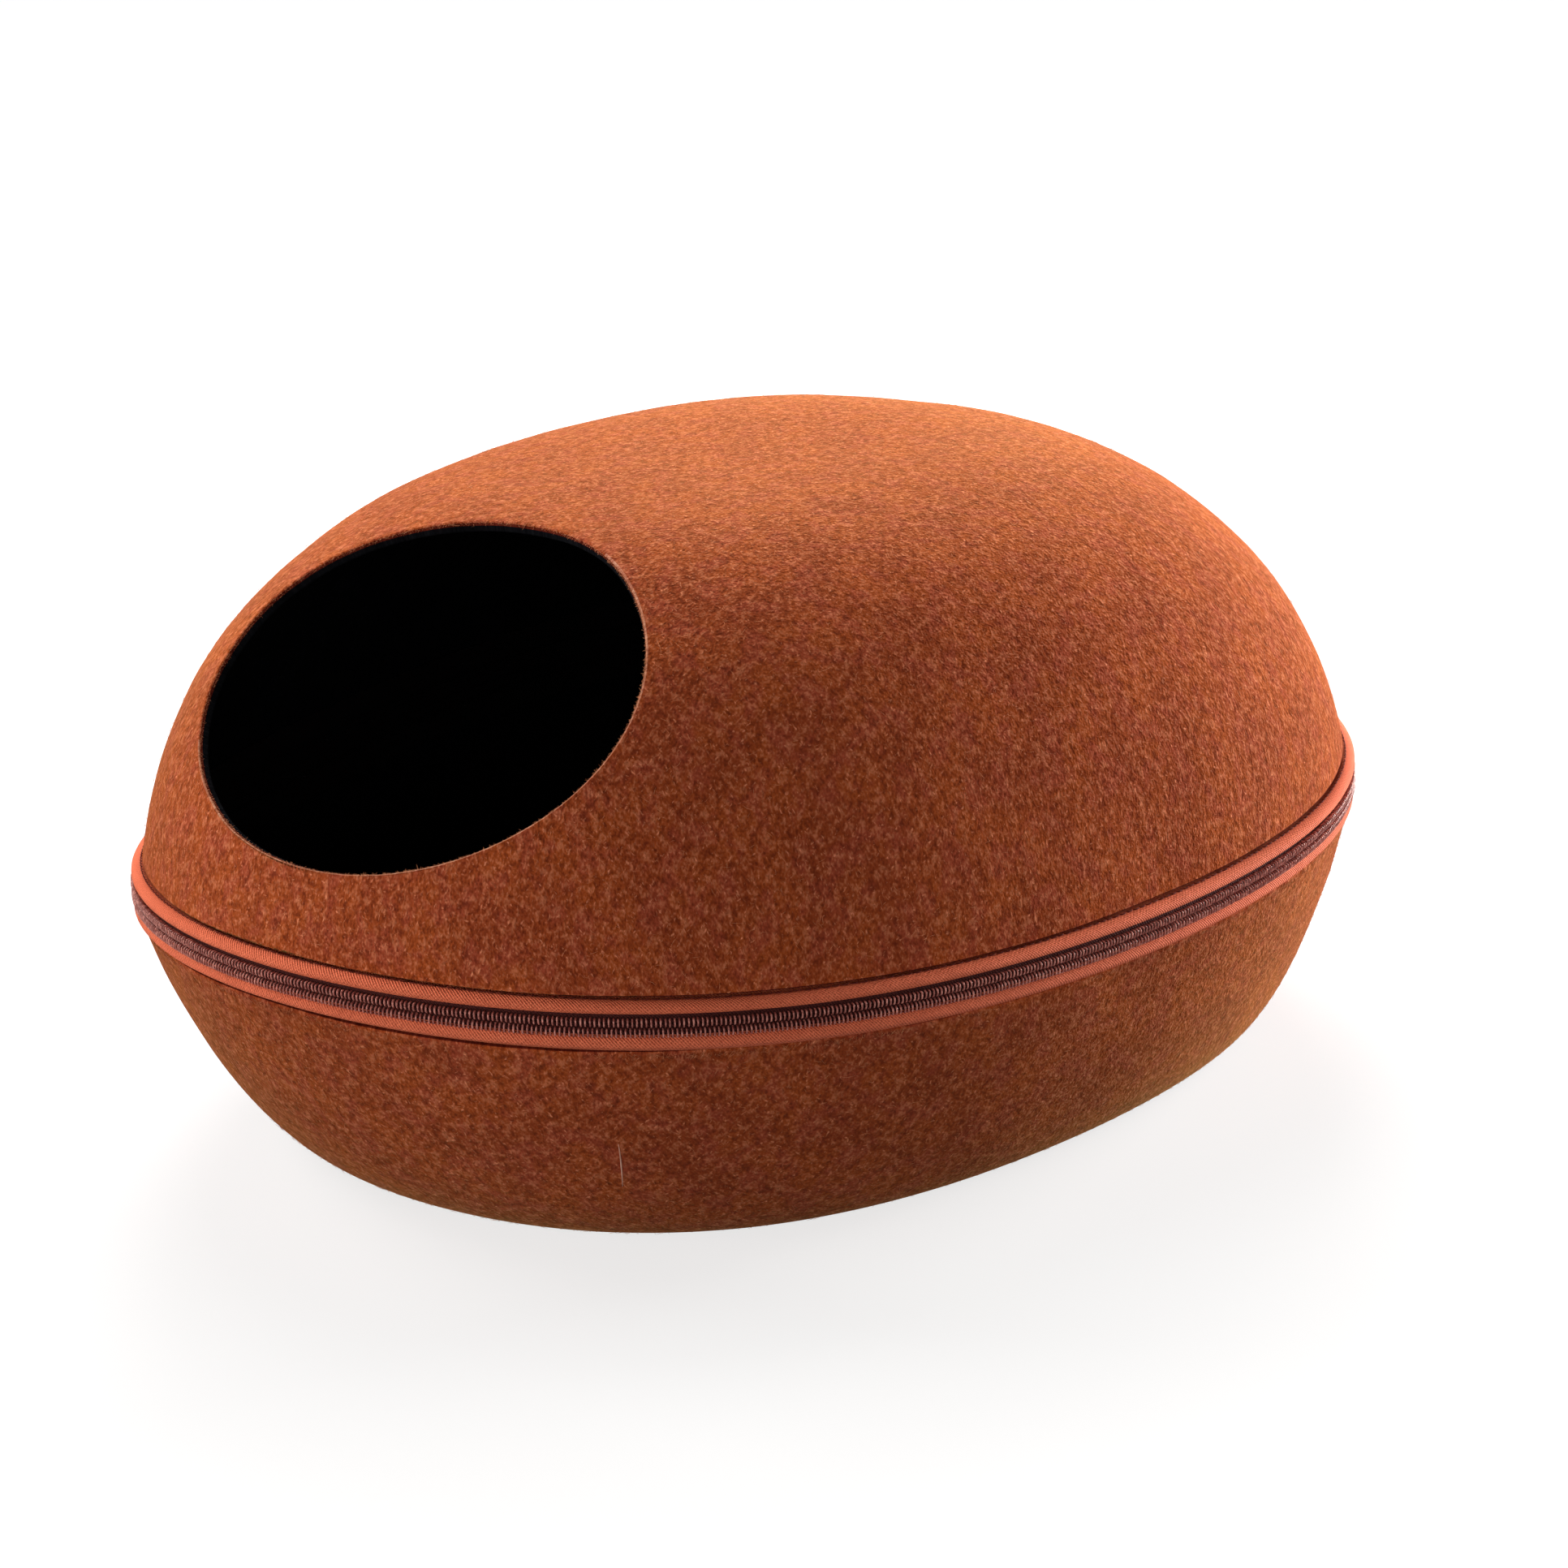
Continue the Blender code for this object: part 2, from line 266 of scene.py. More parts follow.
    def bowl_profile(self, steps: Array) -> Array:
        """The cubic curve of the bowl's wall, as shares of the rim's plan and the zip's height.

        Args:
            steps: 0 to 1 down the curve.

        Returns:
            The two shares for each step, ending in 2.
        """
        steps = steps[..., None]
        start, first, second, end = (np.array(point) for point in self.bowl_curve)
        left = 1.0 - steps
        return (left**3 * start + 3 * left**2 * steps * first
                + 3 * left * steps**2 * second + steps**3 * end)

    def bowl_edge_step(self) -> float:
        """How far along its curve the bowl's felt starts.

        Returns:
            The step, as for bowl.
        """
        fine = np.linspace(0.0, 1.0, 400)
        depths = 1.0 - self.bowl_profile(fine)[:, 1]
        return float(np.interp(self.bowl_edge / self.seam, depths, fine))

    def bowl(self, steps: Array, angles: Array) -> Array:
        """Points of the bowl: the rim's plan shrunk down its wall's curve, then in over the base.

        Args:
            steps: 0 to 1 down the wall's curve, and 1 to 2 from the base's edge to its middle.
            angles: round the rim. Both have one shape.

        Returns:
            Points of that shape, ending in 3.
        """
        profile = self.bowl_profile(np.clip(steps, 0.0, 1.0))
        shrink = 1.0 - np.clip(steps - 1.0, 0.0, 1.0)
        plan = (self.rim_plan(angles) + self.bowl_outset * self.rim_outwards(angles))
        plan = plan * (profile[..., 0] * shrink)[..., None]
        y = plan[..., 1] + self.base_shift * (1.0 - profile[..., 0])
        return np.stack([plan[..., 0], y, profile[..., 1] * self.seam_height(angles)], axis=-1)

    def bowl_normals(self, steps: Array, angles: Array) -> Array:
        """Outward unit vectors of the bowl, from its slopes down the wall and round the rim.

        Args:
            steps: down the wall, as for the points.
            angles: round the rim.

        Returns:
            Vectors of the same shape, ending in 3.
        """
        down = 1e-3
        inner = np.clip(steps, down, 2.0 - 2.0 * down)
        slope_down = self.bowl(inner + down, angles) - self.bowl(inner - down, angles)
        slope_round = self.bowl(inner, angles + down) - self.bowl(inner, angles - down)
        return unit(np.cross(slope_round, slope_down))


def rays(angles: Array) -> Array:
    """Unit vectors in the plan, from +Y round by +X."""
    return np.stack([np.sin(angles), np.cos(angles)], axis=-1)


def unit(vectors: Array) -> Array:
    """Vectors of length one."""
    return vectors / np.maximum(np.linalg.norm(vectors, axis=-1, keepdims=True), 1e-12)


def waves(points: Array, seed: int, wavelengths: Sequence[float], count: int = 12) -> Array:
    """Slow unevenness between about -1 and 1: a sum of sines in seeded directions.

    Args:
        points: places, in metres, of any shape ending in 2 or 3.
        seed: the seed of the directions and phases.
        wavelengths: the shortest and the longest wave.
        count: how many waves are added up.

    Returns:
        One value for each point.
    """
    rng = np.random.default_rng(seed)
    directions = unit(rng.normal(size=(count, points.shape[-1])))
    rates = FULL_TURN / rng.uniform(*wavelengths, size=count)
    phases = rng.uniform(0.0, FULL_TURN, size=count)
    return np.sin(points @ (directions * rates[:, None]).T + phases).sum(axis=-1) / math.sqrt(count)


def grid_faces(rows: int, columns: int, wrap_rows: bool, wrap_columns: bool) -> Array:
    """Quads of a grid of vertices: each joins a vertex to its right and lower neighbours.

    Args:
        rows: rows of vertices.
        columns: vertices in a row.
        wrap_rows: whether the last row joins the first.
        wrap_columns: whether the last column joins the first.

    Returns:
        Vertex indices, (n, 4).
    """
    r = np.arange(rows if wrap_rows else rows - 1)[:, None]
    c = np.arange(columns if wrap_columns else columns - 1)[None, :]
    below, right = (r + 1) % rows, (c + 1) % columns
    corners = (r * columns + c, r * columns + right, below * columns + right, below * columns + c)
    return np.stack(np.broadcast_arrays(*corners), axis=-1).reshape(-1, 4)


def tube_faces(count: int, rings: int, sides: int) -> Array:
    """Quads of many tubes with closed ends, one tube's vertices after another's.

    Args:
        count: how many tubes.
        rings: rings of vertices in a tube.
        sides: vertices in a ring, three or six.

    Returns:
        Vertex indices, (n, 4).
    """
    start = np.array([[2, 2, 1, 0]] if sides == 3 else [[3, 2, 1, 0], [5, 4, 3, 0]])
    end = (rings - 1) * sides + start[:, ::-1]
    single = np.concatenate([grid_faces(rings, sides, False, True), start, end])
    return (single[None] + rings * sides * np.arange(count)[:, None, None]).reshape(-1, 4)


def signed_volume(points: Array, faces: Array) -> float:
    """Volume inside closed quads, negative where they face inwards."""
    a, b, c, d = (points[faces[:, i]] for i in range(4))
    return float((np.cross(a, b) * c).sum() + (np.cross(a, c) * d).sum()) / 6.0


def new_object(name: str, points: Array, faces: Array, uv: Array | None = None,
               slots: Array | None = None) -> bpy.types.Object:
    """A smooth mesh object at the origin, from arrays.

    Args:
        name: the object's name.
        points: vertices, (n, 3).
        faces: vertex indices, (m, 4); a quad that names a vertex twice becomes a triangle.
        uv: one texture place for each corner of each face, (m, 4, 2).
        slots: one material index for each face.

    Returns:
        The linked object.
    """
    if signed_volume(points, faces) < 0.0:
        faces = faces[:, ::-1]
        uv = None if uv is None else uv[:, ::-1]
    keep = np.stack([faces[:, i] != faces[:, i - 1] for i in range(4)], axis=1)
    sizes = keep.sum(axis=1)
    mesh = bpy.data.meshes.new(name)
    mesh.vertices.add(len(points))
    mesh.vertices.foreach_set("co", points.astype(np.float32).ravel())
    mesh.loops.add(int(sizes.sum()))
    mesh.loops.foreach_set("vertex_index", faces[keep].astype(np.int32))
    mesh.polygons.add(len(faces))
    starts = np.concatenate([[0], np.cumsum(sizes)[:-1]])
    mesh.polygons.foreach_set("loop_start", starts.astype(np.int32))
    if slots is not None:
        mesh.polygons.foreach_set("material_index", slots.astype(np.int32))
    if uv is not None:
        layer = mesh.uv_layers.new(name="felt")
        layer.data.foreach_set("uv", uv[keep].astype(np.float32).ravel())
    mesh.update(calc_edges=True)
    mesh.shade_smooth()
    obj = bpy.data.objects.new(name, mesh)
    bpy.context.scene.collection.objects.link(obj)
    return obj


class Nodes:
    """A material's node tree, with short ways to add nodes and the mixes that felt needs."""

    def __init__(self, name: str) -> None:
        """Start a material with only a Principled shader and its output.

        Args:
            name: the material's name.
        """
        self.material = bpy.data.materials.new(name)
        self.material.use_nodes = True
        self.tree = self.material.node_tree
        self.shader = self.tree.nodes["Principled BSDF"]

    def add(self, kind: str, inputs: dict[Any, Any] | None = None,
            **settings: Any) -> bpy.types.Node:
        """Add a node, set its properties, and set or link its inputs.

        Args:
            kind: the node's type.
            inputs: a socket or a value for each input named.
            settings: the node's own properties.

        Returns:
            The node.
        """
        node = self.tree.nodes.new(kind)
        for key, value in settings.items():
            setattr(node, key, value)
        for key, value in (inputs or {}).items():
            self.feed(node.inputs[key], value)
        return node

    def feed(self, socket: bpy.types.NodeSocket, value: Any) -> None:
        """Link a socket to another socket, or set its value.

        Args:
            socket: the input.
            value: an output to link, or a constant.
        """
        if isinstance(value, bpy.types.NodeSocket):
            self.tree.links.new(value, socket)
        else:
            socket.default_value = value

    def maths(self, operation: str, first: Any, second: Any = 0.0) -> Any:
        """One sum on two values."""
        return self.add("ShaderNodeMath", {0: first, 1: second}, operation=operation).outputs[0]

    def ramp(self, value: Any, low: float, high: float, out_low: float = 0.0,
             out_high: float = 1.0) -> Any:
        """Stretch a value's range from low to high onto another range, with soft ends.

        Args:
            value: a socket, or a constant.
            low: where the value's range starts.
            high: where it ends.
            out_low: what low becomes.
            out_high: what high becomes.

        Returns:
            The stretched value's socket.
        """
        inputs = {"Value": value, "From Min": low, "From Max": high,
                  "To Min": out_low, "To Max": out_high}
        return self.add("ShaderNodeMapRange", inputs, interpolation_type="SMOOTHSTEP").outputs[0]

    def blend(self, share: Any, first: Any, second: Any) -> Any:
        """Mix two colours.

        Args:
            share: how much of the second shows.
            first: the colour at share 0.
            second: the colour at share 1.

        Returns:
            The mixed colour's socket.
        """
        node = self.add("ShaderNodeMix", data_type="RGBA")
        self.feed(node.inputs[0], share)
        self.feed(node.inputs[6], first)
        self.feed(node.inputs[7], second)
        return node.outputs[2]

    def noise(self, place: Any, scale: float, detail: float = 2.0, rough: float = 0.55) -> Any:
        """Fractal noise at a place, as one value."""
        inputs = {"Vector": place, "Scale": scale, "Detail": detail, "Roughness": rough}
        return self.add("ShaderNodeTexNoise", inputs).outputs[0]

    def turned(self, place: Any, angle: float, scale: tuple[float, float, float]) -> Any:
        """A place turned about Z and stretched, so that noise there becomes lying fibres."""
        turn = self.add("ShaderNodeMapping", {"Vector": place, "Rotation": (0.0, 0.0, angle)})
        return self.add("ShaderNodeMapping", {"Vector": turn.outputs[0], "Scale": scale}).outputs[0]

    def relief(self, height: Any, distance: float, strength: float) -> None:
        """Bump the shader's surface by a height."""
        inputs = {"Height": height, "Distance": distance, "Strength": strength}
        self.feed(self.shader.inputs["Normal"], self.add("ShaderNodeBump", inputs).outputs[0])

    def constants(self, values: dict[str, Any]) -> None:
        """Set the shader's own constant sockets, by their names."""
        for name, value in values.items():
            self.shader.inputs[name].default_value = value


Colour = tuple[float, float, float, float]
Layer = tuple[float, float, float, float]  # a noise's range, and the shares shown at its ends


@dataclass(frozen=True)
class Finish:
    """What every finish has: its material's name, and layers that each kind of finish adds."""

    name: str

    def material(self) -> bpy.types.Material:
        """A new material with this finish's layers.

        Returns:
            The material.
        """
        nodes = Nodes(self.name)
        self.layers(nodes)
        return nodes.material

    def layers(self, n: Nodes) -> None:
        """Add the layers to the material's shader.

        Args:
            n: the material's nodes.
        """
        raise NotImplementedError


@dataclass(frozen=True)
class FeltFinish(Finish):
    """Heathered pressed felt: mottled wool with pale and dark fibres lying every way."""

    body: Colour
    deep: Colour
    pale: Colour
    dark: Colour
    sheen: float
    glow: Colour
    rosy: Colour
    patch_scale: float = 38.0
    rosy_scale: float = 95.0
    rosy_layer: Layer = (0.45, 0.65, 0.0, 0.65)
    mottle_scale: float = 250.0
    blotch_layer: Layer = (0.48, 0.68, 0.0, 0.62)
    fleck_layer: Layer = (0.52, 0.32, 0.0, 0.36)
    grain_scale: float = 900.0
    grain_layer: Layer = (0.48, 0.76, 0.0, 0.45)
    streaks: tuple[float, ...] = (0.15, 0.9, 1.7, 2.5)  # their headings
    streak_scale: tuple[float, float, float] = (800.0, 360.0, 1.0)
    dark_streak: Layer = (0.54, 0.76, 0.0, 0.40)
    pale_streak: Layer = (0.60, 0.78, 0.0, 0.75)
    relief_depth: float = 0.0005

    def layers(self, n: Nodes) -> None:
        """Body colour in slow patches, rosy patches, blotches and grain, then streaks over them.

        Each layer is noise on the felt's flat places; a streak is noise that is stretched along
        one heading. Dark and pale streaks take turns.

        Args:
            n: the material's nodes.
        """
        place = n.add("ShaderNodeTexCoord").outputs["UV"]
        patches = n.noise(place, self.patch_scale, 3.0)
        colour = n.blend(n.ramp(patches, 0.36, 0.64), self.deep, self.body)
        rosiness = n.noise(place, self.rosy_scale, 2.0)
        colour = n.blend(n.ramp(rosiness, *self.rosy_layer), colour, self.rosy)
        mottle = n.noise(place, self.mottle_scale, 2.0, 0.95)
        colour = n.blend(n.ramp(mottle, *self.blotch_layer), colour, self.dark)
        colour = n.blend(n.ramp(mottle, *self.fleck_layer), colour, self.pale)
        grain = n.noise(place, self.grain_scale, 2.0)
        colour = n.blend(n.ramp(grain, *self.grain_layer), colour, self.dark)
        heights = n.maths("SUBTRACT", n.maths("SUBTRACT", 1.0, mottle), grain)
        for index, angle in enumerate(self.streaks):
            streak = n.noise(n.turned(place, angle, self.streak_scale), 1.0, 2.0)
            dark = index % 2 == 1
            share = n.ramp(streak, *(self.dark_streak if dark else self.pale_streak))
            colour = n.blend(share, colour, self.dark if dark else self.pale)
            heights = n.maths("SUBTRACT" if dark else "ADD", heights, streak)
        n.feed(n.shader.inputs["Base Color"], colour)
        n.relief(heights, self.relief_depth, 0.7)
        n.constants({"Roughness": 0.95, "Specular IOR Level": 0.02, "Sheen Weight": self.sheen,
                     "Sheen Roughness": 0.32, "Sheen Tint": self.glow})


@dataclass(frozen=True)
class TapeFinish(Finish):
    """Woven zip tape: fine diagonal ribs of thread."""

    rib: Colour
    # darker colour of the weave's low parts: painted shade in the furrows
    furrow: Colour
    rib_pitch: float = 0.00085
    rib_turn: float = math.radians(-42.0)
    thread_pitches: float = 1.3  # from one thread to the next, in pitches of the ribs
    thread_depth: float = 0.4  # beside the ribs' depth
    wobble_scale: float = 260.0
    fuzz_scale: float = 1400.0
    wear_scale: float = 120.0

    def layers(self, n: Nodes) -> None:
        """Ribs from the sine of the distance along a diagonal, in metres of tape.

        Args:
            n: the material's nodes.
        """
        place = n.add("ShaderNodeTexCoord").outputs["UV"]
        turned = n.turned(place, self.rib_turn, (1.0, 1.0, 1.0))
        parts = n.add("ShaderNodeSeparateXYZ", {0: turned})
        wobble = n.noise(place, self.wobble_scale, 2.0)
        across = n.maths("MULTIPLY", parts.outputs[0], FULL_TURN / self.rib_pitch)
        rib = n.maths("SINE", n.maths("ADD", across, wobble))
        thread_rate = FULL_TURN / (self.thread_pitches * self.rib_pitch)
        thread = n.maths("SINE", n.maths("MULTIPLY", parts.outputs[1], thread_rate))
        height = n.maths("ADD", rib, n.maths("MULTIPLY", thread, self.thread_depth))
        fuzz = n.ramp(n.noise(place, self.fuzz_scale, 2.0), 0.3, 0.7, -0.5, 0.5)
        height = n.maths("ADD", height, fuzz)
        wear_and_highlight = n.noise(place, self.wear_scale, 3.0)
        # Where the weave is low it takes the furrow colour, a painted shade in the furrows; random
        # wear darkens patches too.
        share = n.maths("MULTIPLY", n.ramp(height, -1.4, 0.45), n.ramp(wear_and_highlight, 0.2, 0.75, 0.75, 1.0))
        n.feed(n.shader.inputs["Base Color"], n.blend(share, self.furrow, self.rib))
        n.relief(height, 0.00014, 0.8)
        n.constants({"Roughness": 0.75, "Specular IOR Level": 0.08, "Sheen Weight": 0.30,
                     "Sheen Tint": self.rib})


@dataclass(frozen=True)
class NylonFinish(Finish):
    """Smooth dark nylon or painted metal, with faint unevenness."""

    colour: Colour
    wear_and_highlight: Colour
    roughness: float
    metallic: float = 0.0
    shine: float = 0.5
    shine_tint: Colour = (1.0, 0.62, 0.52, 1.0)
    rubbed_scale: float = 700.0

    def layers(self, n: Nodes) -> None:
        """A dark body with a paler mottle: rubbing, and on the coil also a painted highlight.

        Args:
            n: the material's nodes.
        """
        place = n.add("ShaderNodeTexCoord").outputs["Object"]
        rubbed = n.noise(place, self.rubbed_scale, 3.0)
        colour = n.blend(n.ramp(rubbed, 0.4, 0.7), self.colour, self.wear_and_highlight)
        n.feed(n.shader.inputs["Base Color"], colour)
        roughness = n.ramp(rubbed, 0.3, 0.7, self.roughness, self.roughness + 0.15)
        n.feed(n.shader.inputs["Roughness"], roughness)
        n.relief(rubbed, 0.00004, 0.3)
        n.constants({"Metallic": self.metallic, "Specular IOR Level": self.shine,
                     "Specular Tint": self.shine_tint})


@dataclass(frozen=True)
class FibreFinish(Finish):
    """Loose fibres, each with its own shade between dark and pale."""

    dark: Colour
    pale: Colour

    def layers(self, n: Nodes) -> None:
        """The shade is the piece's own attribute, one value for each fibre.

        Args:
            n: the material's nodes.
        """
        shade = n.add("ShaderNodeAttribute", attribute_name="shade").outputs["Fac"]
        n.feed(n.shader.inputs["Base Color"], n.blend(shade, self.dark, self.pale))
        n.constants({"Roughness": 0.9, "Specular IOR Level": 0.05})


RUST_FELT = FeltFinish(
    "rust_felt", body=(0.435, 0.081, 0.018, 1.0), deep=(0.35, 0.060, 0.017, 1.0),
    pale=(0.94, 0.330, 0.160, 1.0), dark=(0.13, 0.018, 0.007, 1.0), sheen=0.24,
    glow=(1.0, 0.61, 0.18, 1.0), rosy=(0.42, 0.072, 0.036, 1.0))
# Near-black felt on the inside of both shells: painted shade for the dark within the cave.
SHADED_INNER_FELT = FeltFinish(
    "painted_shade_inner_felt", body=(0.0060, 0.0062, 0.0075, 1.0), deep=(0.004, 0.004, 0.005, 1.0),
    pale=(0.012, 0.012, 0.014, 1.0), dark=(0.002, 0.002, 0.003, 1.0), sheen=0.0,
    glow=(0.0, 0.0, 0.0, 1.0), rosy=(0.006, 0.005, 0.006, 1.0))
# Darker rust on the felt's cut edges: painted shade on the edge, which fades into the near-black
# inside.
SHADED_CUT_FELT = FeltFinish(
    "painted_shade_cut_felt", body=(0.14, 0.017, 0.007, 1.0), deep=(0.09, 0.011, 0.005, 1.0),
    pale=(0.28, 0.05, 0.022, 1.0), dark=(0.045, 0.006, 0.003, 1.0), sheen=0.05,
    glow=(0.8, 0.3, 0.1, 1.0), rosy=(0.15, 0.020, 0.012, 1.0))
# Pale rust on part of the entrance's outer edge: a painted highlight where that edge catches the
# light.
HIGHLIT_EDGE_FELT = FeltFinish(
    "painted_highlight_edge_felt", body=(0.62, 0.24, 0.12, 1.0), deep=(0.45, 0.13, 0.06, 1.0),
    pale=(0.98, 0.60, 0.40, 1.0), dark=(0.26, 0.06, 0.03, 1.0), sheen=0.5,
    glow=(1.0, 0.7, 0.5, 1.0), rosy=(0.60, 0.22, 0.14, 1.0))
RUST_TAPE = TapeFinish(
    "rust_tape", rib=(1.0, 0.240, 0.115, 1.0), furrow=(0.60, 0.086, 0.036, 1.0))
# Very dark tape under and beside the coil: partly its dark thread and stitching, partly painted
# shade in the coil's recess.
BED_THREAD_AND_SHADE_TAPE = TapeFinish(
    "coil_bed_thread_and_painted_shade", rib=(0.095, 0.022, 0.018, 1.0), furrow=(0.028, 0.007, 0.007, 1.0))
# Near-black tape for its back and for the rows hidden inside the felt: painted shade.
SHADED_INNER_TAPE = TapeFinish(
    "painted_shade_inner_tape", rib=(0.010, 0.006, 0.006, 1.0), furrow=(0.004, 0.003, 0.003, 1.0))
THREAD = TapeFinish(
    "stitch_thread", rib=(0.14, 0.020, 0.010, 1.0), furrow=(0.05, 0.008, 0.005, 1.0))
# The coil's pale second colour is partly a painted highlight on the teeth, laid in random patches,
# and partly rubbing.
COIL_NYLON = NylonFinish(
    "coil_nylon", (0.34, 0.084, 0.066, 1.0), (0.82, 0.33, 0.26, 1.0), 0.14, shine=0.6)
SLIDER_PAINT = NylonFinish(
    "slider_paint", (0.045, 0.030, 0.027, 1.0), (0.09, 0.055, 0.045, 1.0), 0.35, 0.6)
LOOSE_FIBRE = FibreFinish(
    "loose_fibre", dark=(0.26, 0.045, 0.014, 1.0), pale=(0.90, 0.38, 0.18, 1.0))
PALE_HAIR = FibreFinish(
    "pale_hair", dark=(0.80, 0.35, 0.22, 1.0), pale=(1.0, 0.58, 0.42, 1.0))


@dataclass
class FeltShell:
    """What the dome and the bowl share: a sheet of felt with a round-edged, closed wall."""

    form: EggForm
    columns: int = 352
    outer_rows: int = 112
    inner_rows: int = 36
    edge_round: float = 0.0009
    arc_steps: int = 5
    unevenness: float = 0.00035
    cut_row: float = 0.4  # how deep a row lies on the first edge's cut face, as a share

    def wall_rows(self) -> tuple[Array, Array, Array, Array]:
        """The rows of the closed wall, from the first edge along the outside and back inside.

        Both edges are rounded, and a last row lies on the first edge's cut face.

        Returns:
            For each row: its share of the way, its distance from the first edge, its distance
            from the second edge (one of them is zero away from that edge), and its depth.
        """
        r, t = self.edge_round, self.form.felt
        theta = np.linspace(QUARTER_TURN, 0.0, self.arc_steps)
        lead, sink = r * (1.0 - np.sin(theta)), r * (1.0 - np.cos(theta))
        outer = np.linspace(0.0, 1.0, self.outer_rows + 1)[1:-1]
        inner = np.linspace(1.0, 0.0, self.inner_rows + 1)[1:-1]
        zero = np.zeros_like
        share = [zero(lead), outer, zero(lead) + 1, zero(lead) + 1, inner, zero(lead), [0.0]]
        first = [lead, zero(outer), zero(lead), zero(lead), zero(inner), lead[::-1], [0.0]]
        second = [zero(lead), zero(outer), lead[::-1], lead, zero(inner), zero(lead), [0.0]]
        depth = [sink, zero(outer), sink[::-1], t - sink, zero(inner) + t, (t - sink)[::-1],
                 [self.cut_row * t]]
        return tuple(np.concatenate(part) for part in (share, first, second, depth))

    def uneven(self, points: Array, normals: Array) -> Array:
        """Points moved along their normals by slow waves, as hand-pressed felt is.

        Args:
            points: places on the felt, ending in 3.
            normals: the felt's outward vectors there.

        Returns:
            The moved points.
        """
        slow = waves(points, 11, (0.06, 0.16))
        quick = waves(points, 12, (0.012, 0.03), 20)
        return points + normals * (self.unevenness * (slow + 0.22 * quick))[..., None]


@dataclass
class UpperShell(FeltShell):
    """The dome: a ring-shaped sheet of felt between the oval entrance and the rim."""

    cut_share: float = 0.55  # how deep the darker rust of the cut edge, a painted shade, goes before the near-black inner felt, also painted shade
    # The stretch of the entrance's edge with a pale painted highlight, from its top round by the
    # right.
    highlit_arc: tuple[float, float] = (math.radians(25.0), math.radians(240.0))

    def flat_places(self, share: Array, angles: Array) -> Array:
        """Flat felt places: a straight blend from the entrance's edge to the rim's, by share.

        Args:
            share: 0 at the entrance to 1 at the rim.
            angles: round the shell.

        Returns:
            Places on the flat sheet, ending in 2.
        """
        entrance = self.form.flat_felt(self.form.entrance_edge(angles))
        rim = self.form.dome_reach(self.form.dome_edge) * rays(angles)
        return (1.0 - share)[..., None] * entrance + share[..., None] * rim

    def build(self) -> bpy.types.Object:
        """The closed wall: outer points, sunk along their normals by each row's depth.

        Returns:
            The dome's felt.
        """
        angles = np.linspace(0.0, FULL_TURN, self.columns, endpoint=False)
        share, first, second, depth = self.wall_rows()
        ends = self.flat_places(np.array([[0.0], [1.0]]) + np.zeros(self.columns), angles)
        run = np.linalg.norm(ends[1] - ends[0], axis=-1) * self.form.flat_scale
        shares = share[:, None] + (first[:, None] - second[:, None]) / run
        flat = self.flat_places(shares, angles)
        normals = self.form.dome_normals(flat)
        points = self.uneven(self.form.dome(flat), normals) - normals * depth[:, None, None]
        faces = grid_faces(len(share), self.columns, True, True)
        uv = (flat * self.form.flat_scale).reshape(-1, 2)[faces]
        slots = self.face_slots(depth, share, angles)
        shell = new_object("dome_felt", points.reshape(-1, 3), faces, uv, slots)
        # The cut edge and the inside are painted shade; the last finish is a painted highlight on
        # the entrance's edge.
        finish_with(shell, RUST_FELT, SHADED_CUT_FELT, SHADED_INNER_FELT, HIGHLIT_EDGE_FELT)
        return dress(shell, Slot.FELT, "upper_shell")

    def face_slots(self, depth: Array, share: Array, angles: Array) -> Array:
        """Rust outside, darker rust on the wall's cut edge and near-black felt inside, both painted
        shade, and a pale painted highlight line.

        The painted highlight runs along the entrance's outer edge on its right and lower sides,
        where that edge catches the light.

        Args:
            depth: how deep each row is in the felt.
            share: each row's share of the way from the entrance to the rim.
            angles: each column's angle.

        Returns:
            A material index for each face, row by row.
        """
        nearer = ((depth + np.roll(depth, -1)) / 2.0)[:, None]
        slot = np.where(nearer < 1e-6, 0, np.where(nearer > self.cut_share * self.form.felt, 2, 1))
        edge = (share < 0.5)[:, None] & (nearer > 0.0) & (nearer < 0.5 * self.edge_round)
        # the columns whose outer edge gets the pale painted highlight
        wear_and_highlight = (angles > self.highlit_arc[0]) & (angles < self.highlit_arc[1])
        return np.where(edge, np.where(wear_and_highlight, 3, 0), slot).ravel()


